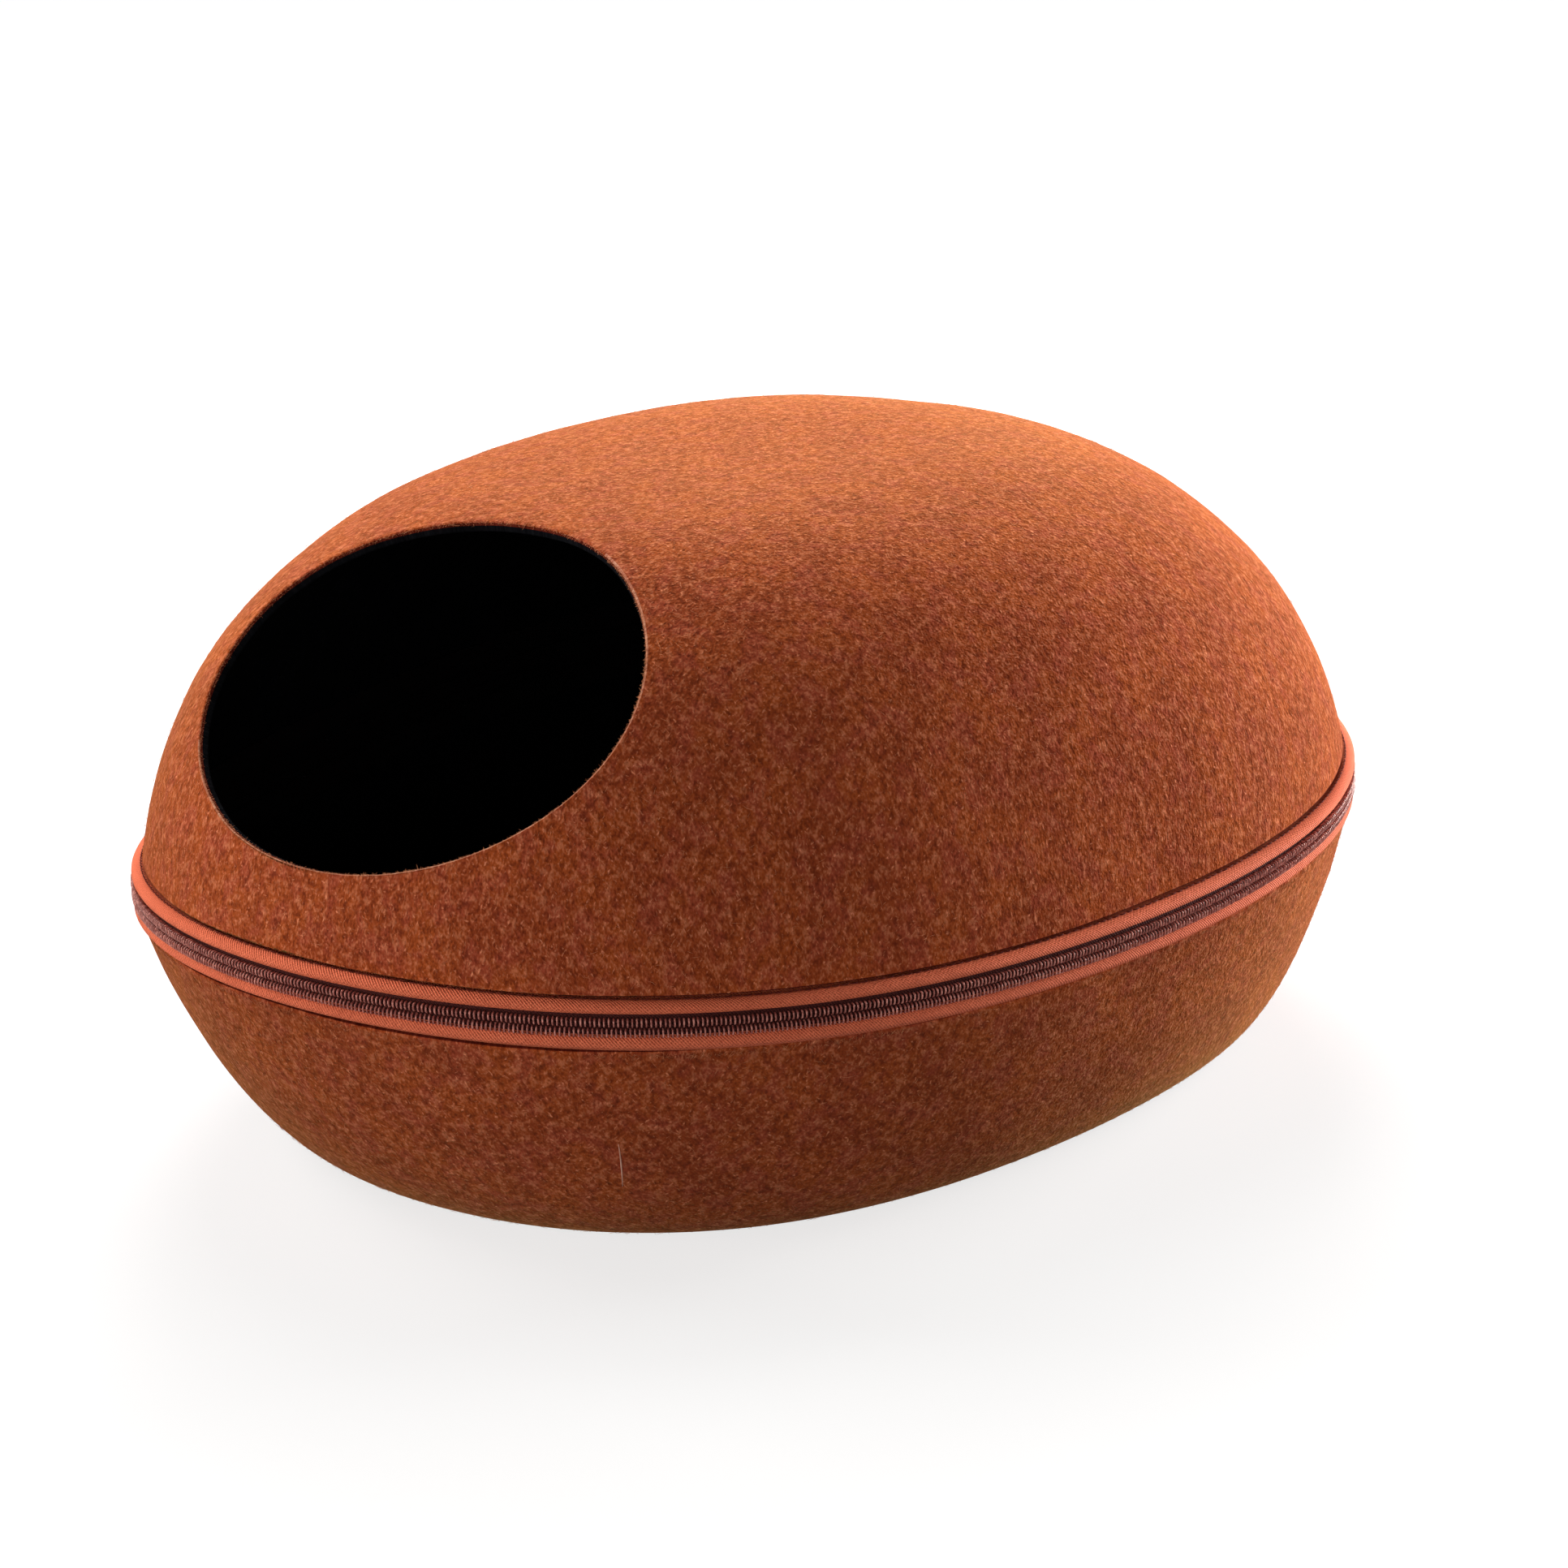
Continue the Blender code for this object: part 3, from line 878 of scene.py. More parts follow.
@dataclass
class LowerShell(FeltShell):
    """The bowl: one pressed sheet of felt with a flat base."""

    base_share: float = 0.42  # share of the outer rows that lie on the base
    wall_length: float = 0.115  # down the wall's curve
    foot_height: float = 0.02  # the unevenness fades out below this height
    rust_share: float = 0.8  # how much of the edge's rounding keeps the outer face's finish
    cut_share: float = 0.5

    def build(self) -> bpy.types.Object:
        """A closed wall from the base's middle outside, up, over the edge and down inside.

        Returns:
            The bowl's felt.
        """
        angles = np.linspace(0.0, FULL_TURN, self.columns, endpoint=False)
        t, r = self.form.felt, self.edge_round
        theta = np.linspace(0.0, QUARTER_TURN, self.arc_steps)
        lead, sink = r * (1.0 - np.sin(theta)), r * (1.0 - np.cos(theta))
        edge = self.form.bowl_edge_step()
        per_metre = 1.0 / self.wall_length
        base_rows = int(self.outer_rows * self.base_share)
        below_edge = edge + r * per_metre
        outside = np.concatenate([np.linspace(2.0, 1.0, base_rows, endpoint=False),
                                  np.linspace(1.0, below_edge, self.outer_rows - base_rows)])
        inside = np.linspace(below_edge, 2.0, self.inner_rows)
        steps = np.concatenate([outside[:-1], edge + lead * per_metre,
                                edge + lead[::-1] * per_metre, inside[1:]])
        depth = np.concatenate([0.0 * outside[:-1], sink, t - sink[::-1], 0.0 * inside[1:] + t])
        grid_steps, grid_angles = np.meshgrid(steps, angles, indexing="ij")
        normals = self.form.bowl_normals(grid_steps, grid_angles)
        surface = self.form.bowl(grid_steps, grid_angles)
        wall = np.clip(surface[..., 2] / self.foot_height, 0.0, 1.0)[..., None]
        points = surface + (self.uneven(surface, normals) - surface) * wall
        points -= normals * depth[:, None, None]
        points[..., 2] = np.maximum(points[..., 2], 0.0)
        flat = self.flat_places(grid_steps, grid_angles)
        faces = grid_faces(len(steps), self.columns, False, True)
        uv = flat.reshape(-1, 2)[faces]
        places = points.reshape(-1, 3)
        last = (len(steps) - 1) * self.columns
        faces = np.where(faces < self.columns, 0, np.where(faces >= last, last, faces))
        nearer = (depth[1:] + depth[:-1]) / 2.0
        # Slot 1 is the cut edge's darker rust and slot 2 the near-black inside: both painted shade.
        inner = np.where(nearer > self.cut_share * t, 2, 1)
        slot = np.where(nearer < self.rust_share * r, 0, inner)
        kept, faces = np.unique(faces, return_inverse=True)
        slots = np.repeat(slot, self.columns)
        shell = new_object("bowl_felt", places[kept], faces.reshape(-1, 4), uv, slots)
        finish_with(shell, RUST_FELT, SHADED_CUT_FELT, SHADED_INNER_FELT)
        return dress(shell, Slot.FELT, "lower_shell")

    def flat_places(self, steps: Array, angles: Array) -> Array:
        """Flat felt places of the bowl: the way from the base's middle, laid out round it.

        Args:
            steps: down the wall and over the base, 0 to 2.
            angles: round the rim.

        Returns:
            Places on the flat sheet, ending in 2.
        """
        fine = np.linspace(0.0, 2.0, 800)
        line = self.form.bowl(fine, np.full_like(fine, QUARTER_TURN))
        way = np.concatenate([[0.0], np.cumsum(np.linalg.norm(np.diff(line, axis=0), axis=1))])
        reach = way[-1] - np.interp(steps, fine, way)
        return reach[..., None] * rays(angles)


def finish_with(obj: bpy.types.Object, *finishes: Finish) -> None:
    """Give a piece its finishes, in the order of its material indices."""
    for finish in finishes:
        obj.data.materials.append(finish.material())


def dress(obj: bpy.types.Object, slot: Slot, *nodes: str) -> bpy.types.Object:
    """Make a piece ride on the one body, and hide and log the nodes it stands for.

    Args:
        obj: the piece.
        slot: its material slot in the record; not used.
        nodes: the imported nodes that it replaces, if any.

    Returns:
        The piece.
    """
    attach(obj, "root")
    if nodes:
        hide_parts(*nodes)
    LOG.info("%s: %d faces, for %s", obj.name, len(obj.data.polygons), ", ".join(nodes) or "trim")
    return obj


@dataclass
class RimLine:
    """The rim measured along its length, for what is carried round it."""

    form: EggForm
    samples: int = 4000

    def length(self) -> float:
        """The zip line's whole length."""
        return float(self.table()[1][-1])

    def table(self) -> tuple[Array, Array]:
        """Fine angles and the way along the zip line at each.

        Returns:
            The angles and the ways, of one length.
        """
        angles = np.linspace(0.0, FULL_TURN, self.samples)
        line = np.column_stack([self.form.rim_plan(angles), self.form.seam_height(angles)])
        way = np.cumsum(np.linalg.norm(np.diff(line, axis=0), axis=1))
        return angles, np.concatenate([[0.0], way])

    def angles_at(self, way: Array) -> Array:
        """The angles at ways along the zip line."""
        angles, table = self.table()
        return np.interp(np.mod(way, table[-1]), table, angles)

    def place(self, angles: Array, along: Array, outwards: Array, upwards: Array) -> Array:
        """Points beside the zip line, by distances along it, outwards and upwards.

        Args:
            angles: where on the rim.
            along: metres along it from there.
            outwards: metres out from its plan.
            upwards: metres above it. All four have one shape.

        Returns:
            Points of that shape, ending in 3.
        """
        out = self.form.rim_outwards(angles)
        plan = self.form.rim_plan(angles) + outwards[..., None] * out
        plan = plan + along[..., None] * np.stack([out[..., 1], -out[..., 0]], axis=-1)
        height = self.form.seam_height(angles) + upwards
        return np.concatenate([plan, height[..., None]], axis=-1)


@dataclass
class ZipTape:
    """One half of the zip's tape: a folded strip from under the coil to inside the felt."""

    rim: RimLine
    half: Half
    columns: int = 560
    smooth_rows: int = 34
    thickness: float = 0.0006
    line: tuple[tuple[float, float], ...] = ()
    over_edge: tuple[tuple[float, float], ...] = ()  # outwards from the felt's outer face, upwards
    flap: tuple[float, float] = (0.0, 0.0)
    flap_gap: float = 0.0007
    # rows coloured very dark: the coil's dark thread, and painted shade in its recess
    bed_rows: tuple[float, float] = (-0.0043, 0.0034)
    inside_from: float = 0.0112
    sway: tuple[float, float] = (0.00022, 0.00010)  # unevenness outwards and upwards
    swaying: tuple[float, float] = (0.0062, 0.0022)  # its middle from the zip line, and its reach
    sway_circle: float = 0.2

    def felt_outwards(self, angles: Array, upwards: float) -> Array:
        """How far out the felt's outer face is at a height above or below the zip line.

        Args:
            angles: where on the rim.
            upwards: metres above the zip line.

        Returns:
            Metres outwards from the rim's plan at each angle.
        """
        form = self.rim.form
        if self.half is Half.UPPER:
            reach = form.dome_reach(max(upwards, form.dome_edge))
            felt = form.dome(reach * rays(angles))
        else:
            fine = np.linspace(0.0, 1.0, 400)
            depth = max(-upwards, form.bowl_edge) / form.seam
            step = np.interp(depth, 1.0 - form.bowl_profile(fine)[:, 1], fine)
            felt = form.bowl(np.full_like(angles, step), angles)
        return ((felt[:, :2] - form.rim_plan(angles)) * form.rim_outwards(angles)).sum(axis=-1)

    def section(self, angles: Array) -> Array:
        """The tape's outer face as offsets (rows, columns, 2): a smooth curve through its line.

        Args:
            angles: each column's place on the rim.

        Returns:
            Metres outwards and upwards from the zip line.
        """
        corners = [np.broadcast_to(np.array(point), (len(angles), 2)) for point in self.line]
        for proud, upwards in self.over_edge:
            out = self.felt_outwards(angles, upwards) + proud
            corners.append(np.column_stack([out, np.full(len(angles), upwards)]))
        for upwards in self.flap:
            out = self.felt_outwards(angles, upwards) - self.rim.form.felt - self.flap_gap
            corners.append(np.column_stack([out, np.full(len(angles), upwards)]))
        return smooth_curve(np.stack(corners), self.smooth_rows)

    def build(self) -> bpy.types.Object:
        """The section and its copy one thickness inside it, carried round the rim.

        Returns:
            The tape.
        """
        way = np.linspace(0.0, self.rim.length(), self.columns, endpoint=False)
        angles = self.rim.angles_at(way)
        line = self.section(angles)
        ring = np.stack([np.cos(angles), np.sin(angles)], axis=-1) * self.sway_circle
        sway = waves(ring, 21 if self.half is Half.UPPER else 22, (0.05, 0.12))
        middle, reach = self.swaying
        visible = np.exp(-((line[..., 1] * self.half.value - middle) / reach) ** 2)
        line = line + np.stack([size * sway * visible for size in self.sway], axis=-1)
        ahead = unit(np.gradient(line, axis=0))
        square = self.half.value * np.stack([-ahead[..., 1], ahead[..., 0]], axis=-1)
        closed = np.concatenate([line, (line + self.thickness * square)[::-1]])
        spread = np.broadcast_to(angles, closed.shape[:2])
        points = self.rim.place(spread, np.zeros(closed.shape[:2]), closed[..., 0], closed[..., 1])
        rows = len(closed)
        faces = grid_faces(rows, self.columns, True, True)
        spans = np.linalg.norm(np.diff(line[:, 0], axis=0), axis=-1)
        across = np.concatenate([[0.0], np.cumsum(spans)])
        across = np.concatenate([across, across[::-1]])
        uv = tape_places(rows, self.columns, self.rim.length(), -self.half.value * across)
        # the bed rows take the dark thread and painted-shade finish
        bed = (closed[:, 0, 1] > self.bed_rows[0]) & (closed[:, 0, 1] < self.bed_rows[1])
        # the back face and the rows past inside_from take the near-black painted-shade finish
        inside = (np.arange(rows) >= rows // 2 - 1) | (np.abs(closed[:, 0, 1]) > self.inside_from)
        slots = np.where(inside, 2, np.where(bed & np.roll(bed, -1), 1, 0))
        slots = np.repeat(slots, self.columns)
        name = f"{self.half.name.lower()}_woven_tape"
        tape = new_object(name, points.reshape(-1, 3), faces, uv, slots)
        finish_with(tape, RUST_TAPE, BED_THREAD_AND_SHADE_TAPE, SHADED_INNER_TAPE)
        self.rim.length()
        return dress(tape, Slot.TAPE, f"{self.half.name.lower()}_tape")


def tape_places(rows: int, columns: int, length: float, across: Array) -> Array:
    """Texture places of each face's corners: metres along the tape and metres across it.

    Args:
        rows: rows of vertices, which close on themselves.
        columns: vertices in a row.
        length: the tape's length.
        across: metres across the tape at each row.

    Returns:
        Places, (faces, 4, 2).
    """
    r, c = np.meshgrid(np.arange(rows), np.arange(columns), indexing="ij")
    corners = ((r, c), (r, c + 1), ((r + 1) % rows, c + 1), ((r + 1) % rows, c))
    return np.stack([np.stack([cc * length / columns, across[rr]], axis=-1) for rr, cc in corners],
                    axis=2).reshape(-1, 4, 2)


def smooth_curve(corners: Array, rows: int) -> Array:
    """A curve through corners, as a cubic between each two of them.

    Each stretch starts and ends along the line between its corner's neighbours.

    Args:
        corners: the corners of n curves, (k, n, 2).
        rows: how many points each curve gets.

    Returns:
        The curves' points, (rows, n, 2).
    """
    before = np.concatenate([2.0 * corners[:1] - corners[1:2], corners[:-1]])
    after = np.concatenate([corners[1:], 2.0 * corners[-1:] - corners[-2:-1]])
    slope = (after - before) / 2.0 * CURVE_EASE
    gaps = np.linalg.norm(np.diff(corners.mean(axis=1), axis=0), axis=-1)
    knots = np.concatenate([[0.0], np.cumsum(gaps)])
    where = np.linspace(0.0, knots[-1], rows)
    stretch = np.clip(np.searchsorted(knots, where, side="right") - 1, 0, len(gaps) - 1)
    t = ((where - knots[stretch]) / gaps[stretch])[:, None, None]
    start, end = corners[stretch], corners[stretch + 1]
    lead, tail = slope[stretch], slope[stretch + 1]
    return ((2 * t**3 - 3 * t**2 + 1) * start + (t**3 - 2 * t**2 + t) * lead
            + (-2 * t**3 + 3 * t**2) * end + (t**3 - t**2) * tail)


@dataclass
class CoilRow:
    """One row of the zip's coil: nylon thread bent into a tooth at every pitch."""

    rim: RimLine
    half: Half
    pitch: float = 0.0015
    thread: float = 0.00033  # half the thread's width
    sides: int = 6
    drop: float = 0.0011  # how far the whole coil hangs below the rim's line
    lean: float = 0.00004  # the teeth's unevenness along and outwards
    path: tuple[tuple[float, float, float], ...] = (  # outwards, from the middle, widening
        (-0.00160, 0.00300, 0.9),
        (-0.00050, 0.00300, 1.0),
        (0.00000, 0.00260, 1.05),
        (0.00012, 0.00175, 1.0),
        (-0.00010, 0.00090, 1.0),
        (-0.00100, 0.00025, 1.0),
    )

    def build(self) -> bpy.types.Object:
        """Every tooth as a bent tube: rings round the path, in the plane square to the rim.

        Returns:
            The row of teeth.
        """
        count = 2 * int(self.rim.length() / self.pitch / 2.0)
        path = np.array(self.path)
        ahead = unit(np.gradient(path[:, :2], axis=0))
        square = np.stack([ahead[:, 1], -ahead[:, 0]], axis=-1)
        turn = np.linspace(0.0, FULL_TURN, self.sides, endpoint=False)
        wide = self.thread * path[:, 2:]
        along = wide * np.sin(turn)
        out = path[:, :1] + wide * np.cos(turn) * square[:, :1]
        up = path[:, 1:2] + wide * np.cos(turn) * square[:, 1:]
        shift = 0.0 if self.half is Half.UPPER else 0.5
        ways = (np.arange(count) + shift) * self.rim.length() / count
        angles = self.rim.angles_at(ways)[:, None, None] + np.zeros(along.shape)
        rng = np.random.default_rng(31 if self.half is Half.UPPER else 32)
        lean = rng.normal(0.0, self.lean, size=(2, count, 1, 1))
        tooth = np.broadcast_to(along, angles.shape) + lean[0]
        points = self.rim.place(angles, tooth, out + lean[1], self.half.value * up - self.drop)
        name = f"{self.half.name.lower()}_coil_teeth"
        row = new_object(name, points.reshape(-1, 3), tube_faces(count, len(path), self.sides))
        finish_with(row, COIL_NYLON)
        return dress(row, Slot.COIL, f"{self.half.name.lower()}_coil")


@dataclass
class StitchRow:
    """A row of sewn stitches beside the zip line: short bowed threads, end to end."""

    rim: RimLine
    name: str
    outwards: float
    upwards: float
    pitch: float = 0.0034
    long: float = 0.0029
    thread: float = 0.00022
    bow: float = 0.00025
    spread: tuple[float, float] = (0.00010, 0.00006)  # unevenness along and upwards
    sides: int = 6
    rings: int = 7

    def build(self) -> bpy.types.Object:
        """Each stitch is a tube whose middle stands out by its bow and whose ends dive in.

        Returns:
            The row of stitches.
        """
        count = int(self.rim.length() / self.pitch)
        way = np.linspace(-1.0, 1.0, self.rings)[:, None]
        turn = np.linspace(0.0, FULL_TURN, self.sides, endpoint=False)
        wide = self.thread * np.sqrt(np.clip(1.05 - way**6, 0.0, 1.0))
        along = way * self.long / 2.0 + 0.0 * turn
        out = self.outwards + self.bow * (1.0 - 2.5 * way**4) + wide * np.cos(turn)
        up = self.upwards + wide * np.sin(turn) + 0.0 * way
        rng = np.random.default_rng(41)
        spread = np.array(self.spread).reshape(2, 1, 1, 1)
        stray = rng.normal(0.0, 1.0, size=(2, count, 1, 1)) * spread
        ways = (np.arange(count) + 0.5) * self.rim.length() / count
        angles = self.rim.angles_at(ways)[:, None, None] + np.zeros(along.shape)
        points = self.rim.place(angles, along + stray[0], out + 0.0 * stray[0], up + stray[1])
        faces = tube_faces(count, self.rings, self.sides)
        row = new_object(self.name, points.reshape(-1, 3), faces)
        finish_with(row, THREAD)
        return dress(row, Slot.TAPE)


@dataclass
class LooseFibres:
    """Short wool fibres that lie on the felt or stand from its cut edge."""

    name: str
    seed: int
    half_width: float = 0.00006
    bend: float = 0.25
    sides: int = 3
    rings: int = 3
    finish: FibreFinish = LOOSE_FIBRE

    def build(self, roots: Array, normals: Array, heads: Array, lengths: Array, lift: Array,
              shades: Array) -> bpy.types.Object:
        """Bent three-sided tubes, thin at both ends.

        A fibre's middle line runs from its root along its heading, bows sideways by a share of
        its length, and rises from the felt by its lift as the square of the way along it.

        Args:
            roots: the places where the fibres start, (n, 3).
            normals: the felt's outward vectors there, (n, 3).
            heads: unit headings along the felt, (n, 3).
            lengths: how long each is.
            lift: how far each one's end stands off the felt.
            shades: each one's shade, from 0 dark to 1 pale.

        Returns:
            The one mesh that holds them all.
        """
        rng = np.random.default_rng(self.seed)
        count = len(roots)
        t = np.linspace(0.0, 1.0, self.rings)[None, :, None]
        side = np.cross(normals, heads)
        bow = rng.uniform(-self.bend, self.bend, size=(count, 1, 1))
        reach = lengths[:, None, None]
        middle = (roots[:, None] + heads[:, None] * reach * (t - 0.5)
                  + side[:, None] * bow * reach * t * (1 - t) * 2
                  + normals[:, None] * (lift[:, None, None] * t**2 + 0.6 * self.half_width))
        turn = np.linspace(0.0, FULL_TURN, self.sides, endpoint=False)
        wide = self.half_width * (0.35 + 0.65 * np.sin(math.pi * t))
        ring = (side[:, None, None] * np.cos(turn)[:, None]
                + normals[:, None, None] * np.sin(turn)[:, None])
        points = middle[:, :, None] + ring * wide[..., None]
        faces = tube_faces(count, self.rings, self.sides)
        obj = new_object(self.name, points.reshape(-1, 3), faces)
        layer = obj.data.attributes.new("shade", "FLOAT", "POINT")
        values = np.repeat(shades, self.rings * self.sides)
        layer.data.foreach_set("value", values.astype(np.float32))
        finish_with(obj, self.finish)
        return dress(obj, Slot.FELT)


@dataclass(frozen=True)
class FibreMix:
    """How one set of loose fibres varies, for the random draws of its lengths and shades."""

    length: tuple[float, float]  # shape and scale of a gamma distribution
    lift: float  # how far their ends stand off the felt, or the spread of that
    shade: tuple[float, float]  # the two shapes of a beta distribution
    proud: float = 0.0  # how far off the felt they start
    wildness: float = 1.0  # how far they stray from their common heading


@dataclass
class Fuzz:
    """The loose fibres of both shells, scattered with one seed."""

    form: EggForm
    dome_count: int = 9500
    bowl_count: int = 6500
    edge_count: int = 2600
    junction_count: int = 3600
    clear_of_entrance: float = 0.012  # in the flat sheet's own unit
    clear_of_zip: float = 0.003
    bowl_band: tuple[float, float] = (0.03, 0.9)  # steps below the bowl's edge, and the last step
    junction_band: tuple[float, float] = (0.004, 0.016)  # steps below the bowl's edge
    rooted: float = 0.3  # how deep in the cut edge fibres start, a share of the felt
    lying: FibreMix = FibreMix((3.0, 0.00055), 0.00022, (1.8, 1.2), proud=0.00012)
    crossing: FibreMix = FibreMix((3.0, 0.0005), 0.0004, (1.6, 1.4), proud=0.0001, wildness=0.8)
    standing: FibreMix = FibreMix((3.0, 0.00028), 0.0004, (2.2, 1.2), wildness=0.9)
    hair_proud: float = 0.0006
    stray: tuple[tuple[float, float], ...] = (
        # the hair's ends, down the bowl and round it
        (0.352, 2.6200), (0.512, 2.6354))

    def headings(self, normals: Array, rng: np.random.Generator) -> Array:
        """Random unit vectors along the felt."""
        wild = unit(rng.normal(size=normals.shape))
        return unit(wild - normals * (wild * normals).sum(axis=-1, keepdims=True))

    def build(self) -> None:
        """Fibres on both shells, at the entrance's edge and over the tape, and one hair."""
        rng = np.random.default_rng(51)
        self.on_dome(rng)
        self.on_bowl(rng)
        self.entrance(rng)
        self.junction(rng)
        self.stray_hair()

    def on_dome(self, rng: np.random.Generator) -> None:
        """Fibres all over the dome, clear of the entrance and of the felt's edge at the zip.

        Args:
            rng: where the random places come from.
        """
        flat = rng.uniform(-1.0, 1.0, size=(self.dome_count * 3, 2))
        edge = self.form.flat_felt(self.form.entrance_edge(np.linspace(0.0, FULL_TURN, 200)))
        centre = edge.mean(axis=0)
        spread = np.unwrap(np.arctan2(*(edge - centre).T))
        order = np.argsort(spread)
        bearing = np.arctan2(*(flat - centre).T)
        reach = np.linalg.norm(edge - centre, axis=1)
        rim_of_hole = np.interp(bearing, spread[order], reach[order], period=FULL_TURN)
        outside = np.linalg.norm(flat - centre, axis=1) > rim_of_hole + self.clear_of_entrance
        limit = self.form.dome_reach(self.form.dome_edge + self.clear_of_zip)
        on_felt = np.linalg.norm(flat, axis=1) < limit
        flat = flat[outside & on_felt][: self.dome_count]
        self.scatter("dome_fibres", self.form.dome(flat), self.form.dome_normals(flat), rng, 52)

    def on_bowl(self, rng: np.random.Generator) -> None:
        """Fibres all over the bowl's wall.

        Args:
            rng: where the random places come from.
        """
        below, end = self.bowl_band
        steps = rng.uniform(self.form.bowl_edge_step() + below, end, size=self.bowl_count)
        angles = rng.uniform(0.0, FULL_TURN, size=self.bowl_count)
        roots, normals = self.form.bowl(steps, angles), self.form.bowl_normals(steps, angles)
        self.scatter("bowl_fibres", roots, normals, rng, 53)

    def scatter(self, name: str, roots: Array, normals: Array, rng: np.random.Generator,
                seed: int) -> None:
        """Fibres that lie on a face of felt.

        Args:
            name: the piece's name.
            roots: where the fibres lie.
            normals: the felt's outward vectors there.
            rng: where the random sizes come from.
            seed: the seed of the fibres' bends.
        """
        count, mix = len(roots), self.lying
        lengths = rng.gamma(*mix.length, size=count)
        lift = np.abs(rng.normal(0.0, mix.lift, size=count))
        shades = rng.beta(*mix.shade, size=count)
        roots = roots + normals * mix.proud
        heads = self.headings(normals, rng)
        LooseFibres(name, seed).build(roots, normals, heads, lengths, lift, shades)

    def stray_hair(self) -> None:
        """The one long pale hair that clings to the bowl's front."""
        steps, angles = np.array(self.stray).T
        ends, normals = self.form.bowl(steps, angles), self.form.bowl_normals(steps, angles)
        root, normal = ends.mean(axis=0, keepdims=True), unit(normals.mean(axis=0, keepdims=True))
        way = ends[1:] - ends[:1]
        hair = LooseFibres("stray_hair", 56, half_width=0.00030, bend=0.05, rings=9,
                           finish=PALE_HAIR)
        root = root + normal * self.hair_proud
        hair.build(root, normal, unit(way), np.linalg.norm(way, axis=1), np.zeros(1), np.ones(1))

    def junction(self, rng: np.random.Generator) -> None:
        """Fibres that reach from the bowl's top edge up over the tape.

        Args:
            rng: where the random places come from.
        """
        count, mix = self.junction_count, self.crossing
        angles = rng.uniform(0.0, FULL_TURN, size=count)
        steps = self.form.bowl_edge_step() + rng.uniform(*self.junction_band, size=count)
        points, normals = self.form.bowl(steps, angles), self.form.bowl_normals(steps, angles)
        upwards = unit(self.form.bowl(steps - 0.002, angles) - points)
        heads = unit(upwards + mix.wildness * self.headings(normals, rng))
        lengths = rng.gamma(*mix.length, size=count)
        lift = rng.uniform(0.0, mix.lift, size=count)
        shades = rng.beta(*mix.shade, size=count)
        roots = points + normals * mix.proud
        LooseFibres("junction_fibres", 55).build(roots, normals, heads, lengths, lift, shades)

    def entrance(self, rng: np.random.Generator) -> None:
        """Fibres that stand from the entrance's cut edge, inwards over the opening.

        Args:
            rng: where the random places come from.
        """
        dome = UpperShell(self.form)
        count, mix = self.edge_count, self.standing
        angles = rng.uniform(0.0, FULL_TURN, size=count)
        flat = dome.flat_places(np.zeros(count), angles)
        within = dome.flat_places(np.full(count, 0.01), angles)
        normals = self.form.dome_normals(flat)
        points = self.form.dome(flat)
        inwards = unit(points - self.form.dome(within))
        depth = rng.uniform(0.0, self.rooted, size=(count, 1)) * self.form.felt
        heads = unit(inwards + mix.wildness * self.headings(normals, rng))
        lengths = rng.gamma(*mix.length, size=count)
        shades = rng.beta(*mix.shade, size=count)
        lift = rng.normal(0.0, mix.lift, size=count)
        roots = points - normals * depth
        LooseFibres("entrance_fibres", 54).build(roots, normals, heads, lengths, lift, shades)


@dataclass
class ZipHardware:
    """The slider and its pull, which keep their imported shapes."""

    nodes: tuple[str, ...] = ("zip_slider", "zip_pull")

    def dress(self, frame: dict[str, Any]) -> None:
        """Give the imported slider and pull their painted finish.
        """
        paint = SLIDER_PAINT.material()
        for name in self.nodes:
            mesh = frame["nodes"][name].data
            mesh.materials.clear()
            mesh.materials.append(paint)
            LOG.info("%s: painted", name)


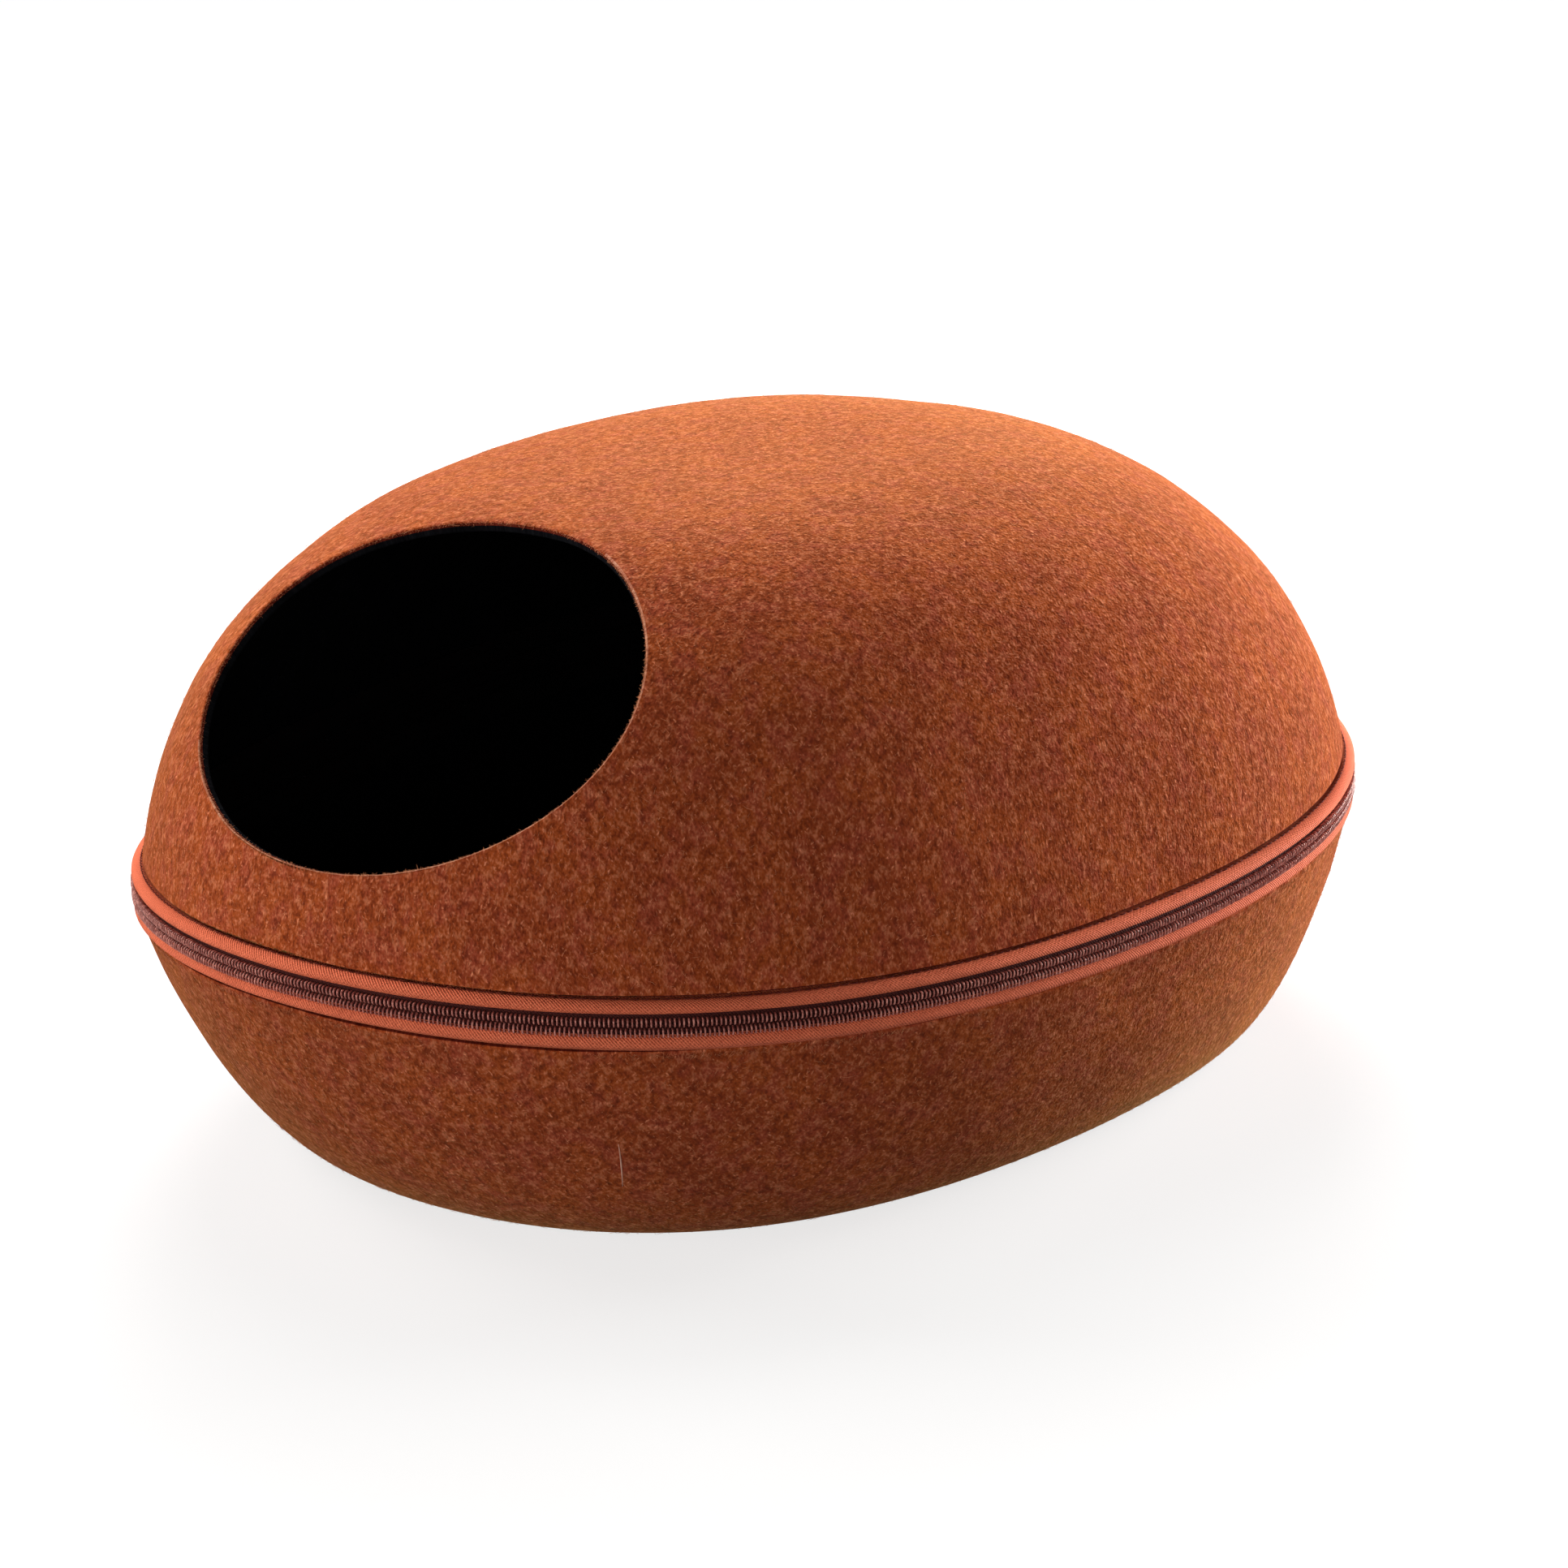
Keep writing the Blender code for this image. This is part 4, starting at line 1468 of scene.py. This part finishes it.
@dataclass
class Studio:
    """A pale floor, a white surround, soft lights, and the camera."""

    distance: float = 1.42077
    elevation: float = math.radians(18.6)
    bearing: float = math.radians(-52.88)
    roll: float = math.radians(-1.5)
    focus_pixels: float = 4705.8
    frame_pixels: float = 1932.0
    slide_right: float = 0.01851
    slide_up: float = -0.01716
    aim_height: float = 0.120
    sensor: float = 36.0
    world_strength: float = 0.025
    floor_glow: tuple[float, float] = (0.75, 1.0)  # beside the egg, where the weaker glow is a painted shade round it, and far from it
    glow_reach: tuple[float, float] = (0.28, 1.35)
    lights: tuple[tuple[str, float, float, float, float, float], ...] = (
        # name, bearing from the camera round by its right, elevation, distance, size, watts
        ("right_back_box", 122.0, 3.0, 1.7, 0.9, 80.0),
        ("back_box", 180.0, 32.0, 1.7, 1.0, 36.0),
        ("left_back_box", 250.0, 30.0, 1.7, 0.9, 19.0),
        ("left_box", 285.0, 2.0, 1.7, 0.9, 13.5),
        ("top_box", 190.0, 60.0, 1.7, 1.0, 15.0),
        ("front_box", 10.0, 6.0, 1.9, 1.2, 8.0),
        ("right_box", 95.0, 2.0, 1.7, 0.9, 6.5),
        ("front_left_box", 330.0, 6.0, 1.9, 1.2, 5.5),
    )

    def axes(self) -> tuple[Vector, Vector, Vector]:
        """The level camera's right, up and forward directions.

        Returns:
            Three unit vectors.
        """
        e, a = self.elevation, self.bearing
        forward = Vector((-math.cos(e) * math.cos(a), -math.cos(e) * math.sin(a), -math.sin(e)))
        right = Vector((-math.sin(a), math.cos(a), 0.0))
        return right, right.cross(forward), forward

    def camera(self) -> None:
        """A camera from the photographed side, rolled a little."""
        right, up, forward = self.axes()
        place = -forward * self.distance + right * self.slide_right + up * self.slide_up
        place.z += self.aim_height
        c, s = math.cos(self.roll), math.sin(self.roll)
        rolled_right, rolled_up = right * c + up * s, up * c - right * s
        data = bpy.data.cameras.new("camera")
        data.sensor_width = self.sensor
        data.lens = self.focus_pixels * self.sensor / self.frame_pixels
        data.dof.use_dof = False
        obj = bpy.data.objects.new("camera", data)
        turn = Matrix((rolled_right, rolled_up, -forward)).transposed().to_4x4()
        obj.matrix_world = Matrix.Translation(place) @ turn
        bpy.context.scene.collection.objects.link(obj)
        bpy.context.scene.camera = obj

    def build(self) -> None:
        """The camera, the floor, the surround and the lights."""
        self.camera()
        self.floor()
        self.surround()
        for name, bearing, elevation, *rest in self.lights:
            self.soft_box(name, math.radians(bearing), math.radians(elevation), *rest)

    def soft_box(self, name: str, bearing: float, elevation: float, distance: float, size: float,
                 watts: float) -> None:
        """A square soft light aimed at the egg, unseen by the camera itself.

        Args:
            name: the light's name.
            bearing: from the camera round by its right.
            elevation: above the floor.
            distance: from the egg's middle.
            size: the light's side.
            watts: its strength.
        """
        right, _, forward = self.axes()
        towards = Vector((-forward.x, -forward.y, 0.0)).normalized()
        level = towards * math.cos(bearing) + right * math.sin(bearing)
        data = bpy.data.lights.new(name, "AREA")
        data.shape, data.size, data.energy = "SQUARE", size, watts
        obj = bpy.data.objects.new(name, data)
        aim = Vector((0.0, 0.0, self.aim_height))
        raised = Vector((0, 0, 1)) * math.sin(elevation)
        obj.location = aim + (level * math.cos(elevation) + raised) * distance
        obj.rotation_euler = (aim - obj.location).to_track_quat("-Z", "Y").to_euler()
        obj.visible_camera = False
        bpy.context.scene.collection.objects.link(obj)

    def floor(self) -> None:
        """A wide pale floor that glows a little, so that it stays white as in a light tent; its
        glow is weaker beside the egg, a painted shade round it.
        """
        reach = 12.0
        corners = np.array([[-1, -1, 0], [1, -1, 0], [1, 1, 0], [-1, 1, 0]]) * reach
        mesh = bpy.data.meshes.new("floor")
        mesh.from_pydata(corners.tolist(), [], [(0, 1, 2, 3)])
        obj = bpy.data.objects.new("floor", mesh)
        bpy.context.scene.collection.objects.link(obj)
        n = Nodes("pale_floor")
        place = n.add("ShaderNodeTexCoord").outputs["Object"]
        away = n.add("ShaderNodeVectorMath", {0: place}, operation="LENGTH").outputs["Value"]
        glow = n.ramp(away, *self.glow_reach, *self.floor_glow)
        n.feed(n.shader.inputs["Emission Strength"], glow)
        n.constants({"Emission Color": (1.0, 0.995, 0.99, 1.0), "Roughness": 1.0,
                     "Base Color": (0.28, 0.275, 0.272, 1.0), "Specular IOR Level": 0.0})
        mesh.materials.append(n.material)
        obj.visible_diffuse = False

    def surround(self) -> None:
        """An even white world."""
        world = bpy.data.worlds.new("surround")
        world.use_nodes = True
        background = world.node_tree.nodes["Background"]
        background.inputs[0].default_value = (1.0, 0.99, 0.98, 1.0)
        background.inputs[1].default_value = self.world_strength
        bpy.context.scene.world = world
        bpy.context.scene.view_settings.view_transform = "Standard"


# The tapes' faces from the middle of the zip to the felt: metres outwards and upwards.
UPPER_LINE = (
    (-0.0021, 0.00005), (-0.0021, 0.0024), (-0.0017, 0.0034), (-0.0006, 0.0037),
    (0.0000, 0.0048), (-0.0004, 0.0060), (-0.0017, 0.0070), (-0.0038, 0.0074))
LOWER_LINE = (
    (-0.0021, -0.00005), (-0.0021, -0.0032), (-0.0017, -0.0043), (-0.0009, -0.0050),
    (-0.0004, -0.0064), (-0.0003, -0.0079))


def main() -> None:
    """Load the frame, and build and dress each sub-assembly."""
    logging.basicConfig(level=logging.INFO, format="%(name)s: %(message)s")
    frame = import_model()
    form = EggForm()
    rim = RimLine(form)
    Studio().build()
    UpperShell(form).build()
    LowerShell(form).build()
    ZipTape(rim, Half.UPPER, line=UPPER_LINE, flap=(0.0066, 0.0170)).build()
    ZipTape(rim, Half.LOWER, line=LOWER_LINE, over_edge=((0.0002, -0.0091), (-0.0009, -0.0098)),
            flap=(-0.0088, -0.0172)).build()
    for half in Half:
        CoilRow(rim, half).build()
    StitchRow(rim, "upper_stitches", -0.0038, 0.0077).build()
    Fuzz(form).build()
    ZipHardware().dress(frame)


if __name__ == "__main__":
    main()
